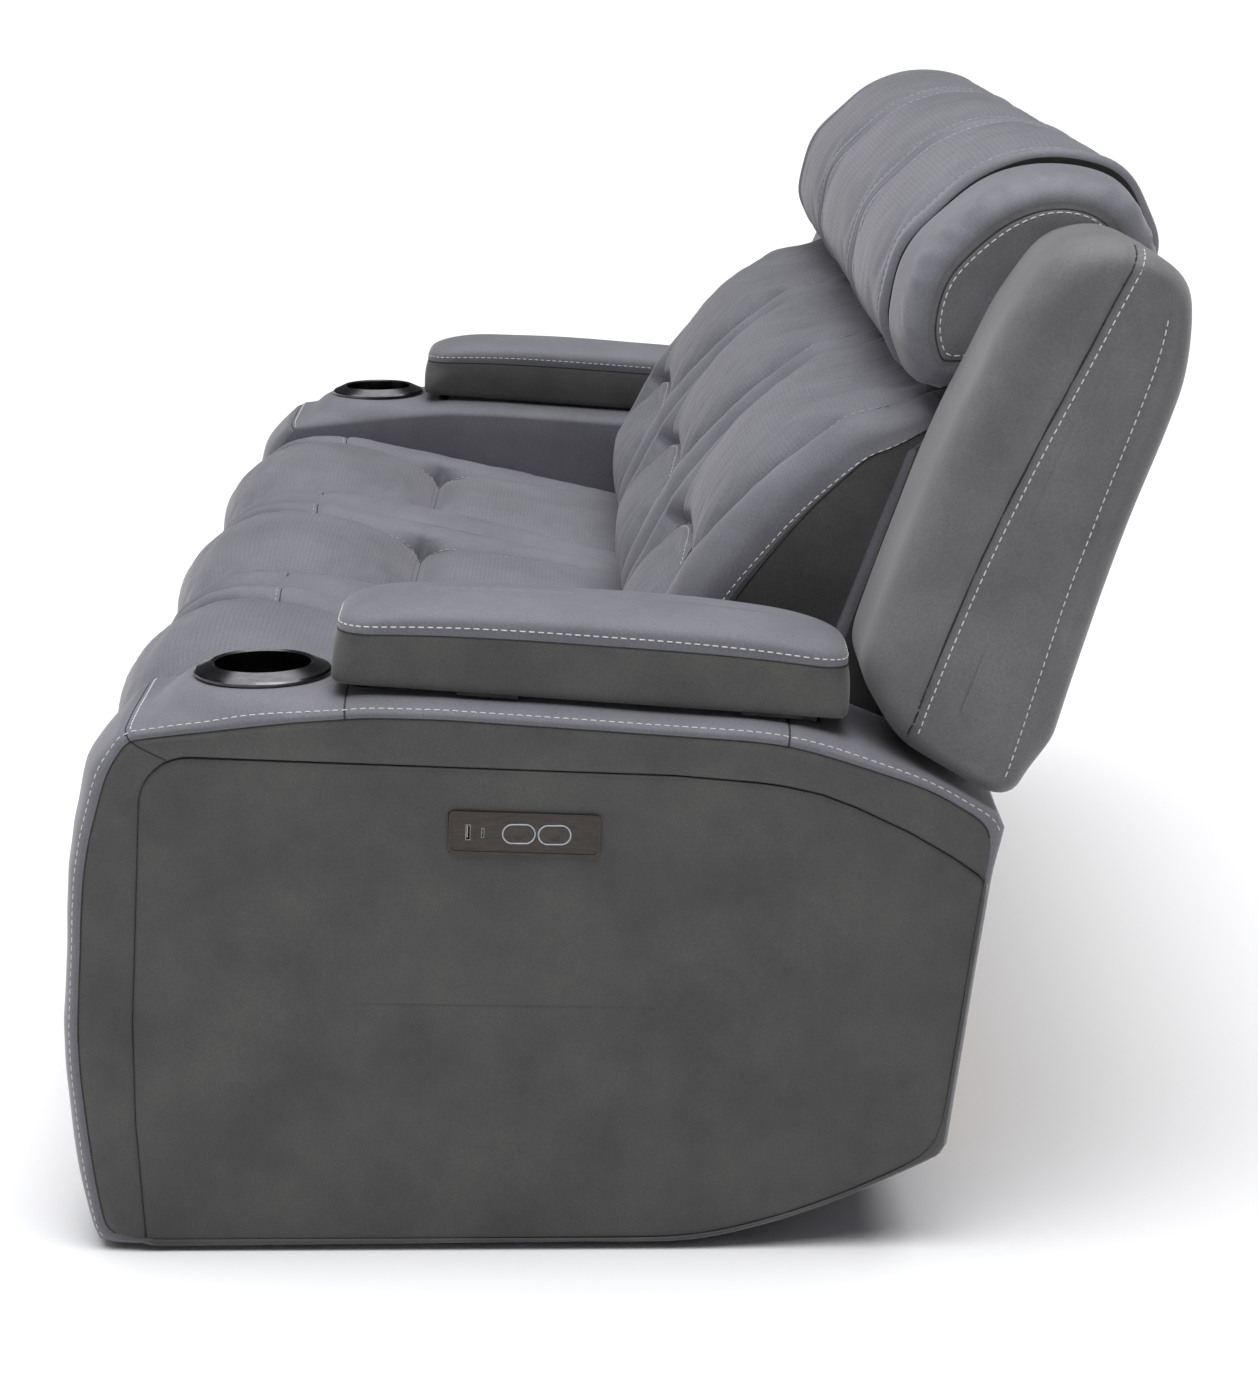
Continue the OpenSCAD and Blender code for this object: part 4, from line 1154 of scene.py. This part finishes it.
def lid_pad():
    """The padded arm rest in its own level frame: side border, sewn seam and domed top."""
    hinge = joint("lid_hinge_r")
    axis = Vector(hinge["axis"])
    slope = math.atan2(-axis.z, axis.y)
    turn = np.array(Euler((-slope, 0, 0)).to_matrix())
    origin = np.array((ARM_HI.x - 28 * MM, 0, 572 * MM))
    local = (node_points("lid_pad_r") - origin) @ turn
    lo, hi = local.min(0), local.max(0)
    lo[1] -= 2 * MM
    half = (hi - lo) / 2
    mid = (hi + lo) / 2
    corner, per_corner = 13 * MM, 9

    def plan(inset, z=0):
        """Rounded rectangle in plan with a fixed count of points, anticlockwise."""
        hx, hy = half[0] - inset, half[1] - inset
        r = corner + 26 * MM * ease(z, 2 * MM, 30 * MM) + 0.3 * inset
        r = min(r, hx)
        points = []
        for quarter, (sx, sy) in enumerate(((1, 1), (-1, 1), (-1, -1), (1, -1))):
            for q in np.linspace(0, math.pi / 2, per_corner):
                a = q + quarter * math.pi / 2
                points.append((mid[0] + sx * (hx - r) + r * math.cos(a),
                               mid[1] + sy * (hy - r) + r * math.sin(a)))
            start = points[-1]
            n_side = 84 if quarter in (1, 3) else 16
            nxt = ((-1, 1), (-1, -1), (1, -1), (1, 1))[quarter]
            a = (quarter + 1) * math.pi / 2
            end = (mid[0] + nxt[0] * (hx - r) + r * math.cos(a),
                   mid[1] + nxt[1] * (hy - r) + r * math.sin(a))
            for t in np.linspace(0, 1, n_side + 2)[1:-1]:
                points.append((start[0] * (1 - t) + end[0] * t, start[1] * (1 - t) + end[1] * t))
        return np.array(points)

    seam_k, sewn_k = 15, 18.2          # rings of the sewn seam and of the stitches above it
    seam_z, low = 45 * MM, lo[2] - 11.4 * MM
    rings = [(30 * MM, low), (20 * MM, low - 0.4 * MM), (10 * MM, low), (4 * MM, low + 1 * MM),
             (1.5 * MM, low + 4 * MM)]
    rings += [(1.5 * MM - 3 * MM * math.sin(math.pi * t), low + 5 * MM + (seam_z - low - 7 * MM) * t)
              for t in np.linspace(0.1, 0.93, 9)]
    rings += [(1.6 * MM, seam_z - 1.5 * MM), (2.6 * MM, seam_z), (1.6 * MM, seam_z + 1.5 * MM)]
    rise = hi[2] - seam_z
    for q in np.linspace(0.07, 0.5 * math.pi, 22):
        rings.append((1.2 * MM + (half[0] - 7 * MM) * (1 - math.cos(q)) ** 1.15,
                      seam_z + 2 * MM + (rise - 2 * MM) * math.sin(q) ** 0.72))
    grid = np.array([np.column_stack([plan(inset, z), np.full(len(plan(0)), z)]) for inset, z in rings])
    arc = np.append(0, np.cumsum(np.linalg.norm(np.diff(grid[16], axis=0), axis=1)))
    skin = Skin(grid, arc, np.ones(grid.shape[:2]))
    over_hinge = (grid[..., 0] > mid[0]) * (1 - ease(grid[..., 2], 4 * MM, 16 * MM))
    skin.grid[..., 0] += 4.5 * MM * over_hinge * (np.arange(len(rings)) > 2)[:, None]
    inward = skin.normals()
    sign = np.sign(np.mean(inward[10, :, :2] * (grid[10, :, :2] - mid[:2])))
    k = np.arange(len(rings))[:, None]
    held = np.clip(bell(k - seam_k, 1.5) + (k < 6), 0, 1) * np.ones(grid.shape[:2])
    inflate(skin, 1 - held, 2.0, 4 * MM, slack=0.0, settle=8)
    x, y = skin.grid[..., 0], skin.grid[..., 1]
    corner_seam = bell(y - (lo[1] + 24 * MM), 1.8 * MM) * (k > 4) * (k < seam_k) * (x > mid[0])
    amount = 0.7 * MM * waves(x, y, 41, 0.12) * (k > 17) - 1.8 * MM * corner_seam
    skin.grid = skin.grid + sign * skin.normals() * amount[..., None]
    endwise = np.abs((y - mid[1]) / half[1]) ** 3
    upper = ease(skin.grid[..., 2], 8 * MM, hi[2])
    skin.grid[..., 2] += upper * (4 * MM - 15 * MM * endwise)
    skin.grid = skin.grid @ turn.T + origin
    skin.x = skin.grid[..., 0].copy()
    # The side border below the seam gets the darker side leather: painted shade on faces turned away
    # from the overhead light.
    border = (np.arange(len(rings) - 1)[:, None] < seam_k) * np.ones(len(arc), int)
    cover = skin.build("lid_cover_r", [LEATHER, LEATHER_SIDE_SHADED], border)
    with edited(cover) as bm:
        under = [f for f in bm.faces if len(f.verts) > 8 and f.calc_center_median().z < 0.6]
        bmesh.ops.delete(bm, geom=under, context="FACES_ONLY")
    thread = Thread()
    round_the_pad = np.arange(len(arc) + 1)
    thread.on_grid(skin, sewn_k, round_the_pad)
    thread.on_grid(skin, seam_k, round_the_pad, dark=True)
    return cover, thread.build("lid_stitches_r")


def lid_pads():
    for side, (cover, sewn) in both_sides(*lid_pad()):
        place(cover, f"storage_lid_{side}", "leather", f"lid_pad_{side}", fill=0.9)
        place(sewn, f"storage_lid_{side}", "leather")


# ---- legrest pads, front pad and rear panels ----


def board_pads():
    """Flat padded boards: legrests and front pad, and the sofa's rear panels."""
    for kind, node, name, slot, start, spine, edge in (
            ("front", "mid_front_pad", "legrest_cover", "leather", (-0.508, 0.228),
             ((-0.52, 0.12), (-0.52, 0.33)), 14 * MM),
            ("rear", "mid_back_panel", "rear_cover", "leather_side", (0.295, 0.239),
             ((0.33, 0.33), (0.50, 0.80)), 4 * MM)):
        outline = Outline(face_loop(node, SEAT_HALF), start, soften=3 * MM, fine_step=7 * MM)
        columns = np.linspace(-SEAT_HALF + 16 * MM, SEAT_HALF - 16 * MM, 76)
        skin = slab_skin(outline, -SEAT_HALF, SEAT_HALF, columns, 14 * MM, edge,
                         end_rings=(2, 2), spine=spine)
        if kind == "front":
            facing = ease(-skin.grid[..., 1], 0.515, 0.54)
            lines = sum(bell(skin.grid[..., 2] - z, 3.5 * MM) for z in (0.150, 0.305))
            amount = -4 * MM * lines + 1.2 * MM * waves(skin.x, skin.arc, 51, 0.13) - 3 * MM
            skin.push(amount * facing * skin.top)
        # The rear panels get the darker side leather: painted shade on faces turned away from the
        # overhead light.
        look, body, stood, fill = ((LEATHER, "legrest", "legrest_pad", 0.9) if kind == "front"
                                   else (LEATHER_SIDE_SHADED, "back", "back_panel", None))
        first = skin.build(f"{name}_mid", [look])
        place_mid_and_ends((first,), slot, node, body, stood, fill)


# ---- small pieces ----


def button_rings():
    """A thin light ring round each push button's opening."""
    for side, sign in (("r", 1), ("l", -1)):
        mesh_points, faces = [], []
        for name in ("button_front_", "button_rear_"):
            lo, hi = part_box(name + side)
            cy, cz = (lo.y + hi.y) / 2, (lo.z + hi.z) / 2
            r = (hi.z - lo.z) / 2 + 0.9 * MM
            run = (hi.y - lo.y) / 2 - (hi.z - lo.z) / 2
            x = sign * (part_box("control_plate_r")[1].x - 0.6 * MM)
            path = [(cy + (run if math.cos(q) > 0 else -run) + r * math.cos(q), cz + r * math.sin(q))
                    for q in np.linspace(0, math.tau, 48, endpoint=False) + 0.01]
            first = len(mesh_points)
            thick = 0.75 * MM
            for (y, z) in path:
                out = np.array((y - cy - (run if y > cy else -run), z - cz))
                out /= np.hypot(*out)
                for q in np.arange(6) * math.tau / 6:
                    mesh_points.append((x + thick * math.sin(q), y + out[0] * thick * math.cos(q),
                                        z + out[1] * thick * math.cos(q)))
            for a in range(48):
                b = (a + 1) % 48
                for i in range(6):
                    j = (i + 1) % 6
                    faces.append([first + a * 6 + i, first + a * 6 + j,
                                  first + b * 6 + j, first + b * 6 + i])
        place(new_object(f"button_rings_{side}", mesh_points, faces, RING), "base", "button")


# ---- stage ----


def camera():
    data = bpy.data.cameras.new("camera")
    data.lens, data.sensor_width = 86.5, 36
    obj = bpy.data.objects.new("camera", data)
    bpy.context.scene.collection.objects.link(obj)
    pitch, yaw = math.radians(13.9), math.radians(0.59)
    obj.location = (4.133, -0.024, 1.357)
    look = Vector((-math.cos(pitch) * math.cos(yaw), math.cos(pitch) * math.sin(yaw), -math.sin(pitch)))
    obj.rotation_euler = look.to_track_quat("-Z", "Y").to_euler()
    bpy.context.scene.camera = obj


def light(name, kind, location, target, energy, colour, **settings):
    data = bpy.data.lights.new(name, kind)
    data.energy, data.color = energy, colour
    for key, value in settings.items():
        setattr(data, key, value)
    obj = bpy.data.objects.new(name, data)
    obj.location = location
    obj.rotation_euler = (Vector(target) - Vector(location)).to_track_quat("-Z", "Y").to_euler()
    bpy.context.scene.collection.objects.link(obj)


def studio():
    """White floor, soft light from above, a weak wash from the front and one over the near arm."""
    mesh = bpy.data.meshes.new("floor")
    far = 60
    corners = [(-far, -far, 0), (far, -far, 0), (far, far, 0), (-far, far, 0)]
    mesh.from_pydata(corners, [], [(0, 1, 2, 3)])
    n = Nodes("floor_white")
    n.finish(Base_Color=(0.90, 0.90, 0.90, 1), Roughness=0.9, Specular_IOR_Level=0.0)
    mesh.materials.append(n.material)
    floor = bpy.data.objects.new("floor", mesh)
    bpy.context.scene.collection.objects.link(floor)
    world = bpy.data.worlds.new("studio")
    bpy.context.scene.world = world
    world.use_nodes = True
    world.node_tree.nodes["Background"].inputs["Color"].default_value = (0.93, 0.95, 1.0, 1)
    world.node_tree.nodes["Background"].inputs["Strength"].default_value = 0.09
    light("overhead", "SUN", (-0.25, 0.1, 4), (0, 0, 0), 3.75, (0.98, 0.98, 1.0), angle=math.radians(75))
    light("front_wash", "AREA", (0.6, -4.6, 2.4), (0, -0.1, 0.7), 25, (0.96, 0.98, 1.0), size=3.0)
    light("near_top", "AREA", (1.4, 0.0, 3.0), (1.0, 0.0, 0.7), 24, (0.97, 0.98, 1.0), size=1.4)
    bpy.context.scene.view_settings.view_transform = "Standard"


camera()
studio()
paint_cad()
seats()
backs()
head_rolls()
wings()
arms()
lid_pads()
board_pads()
button_rings()
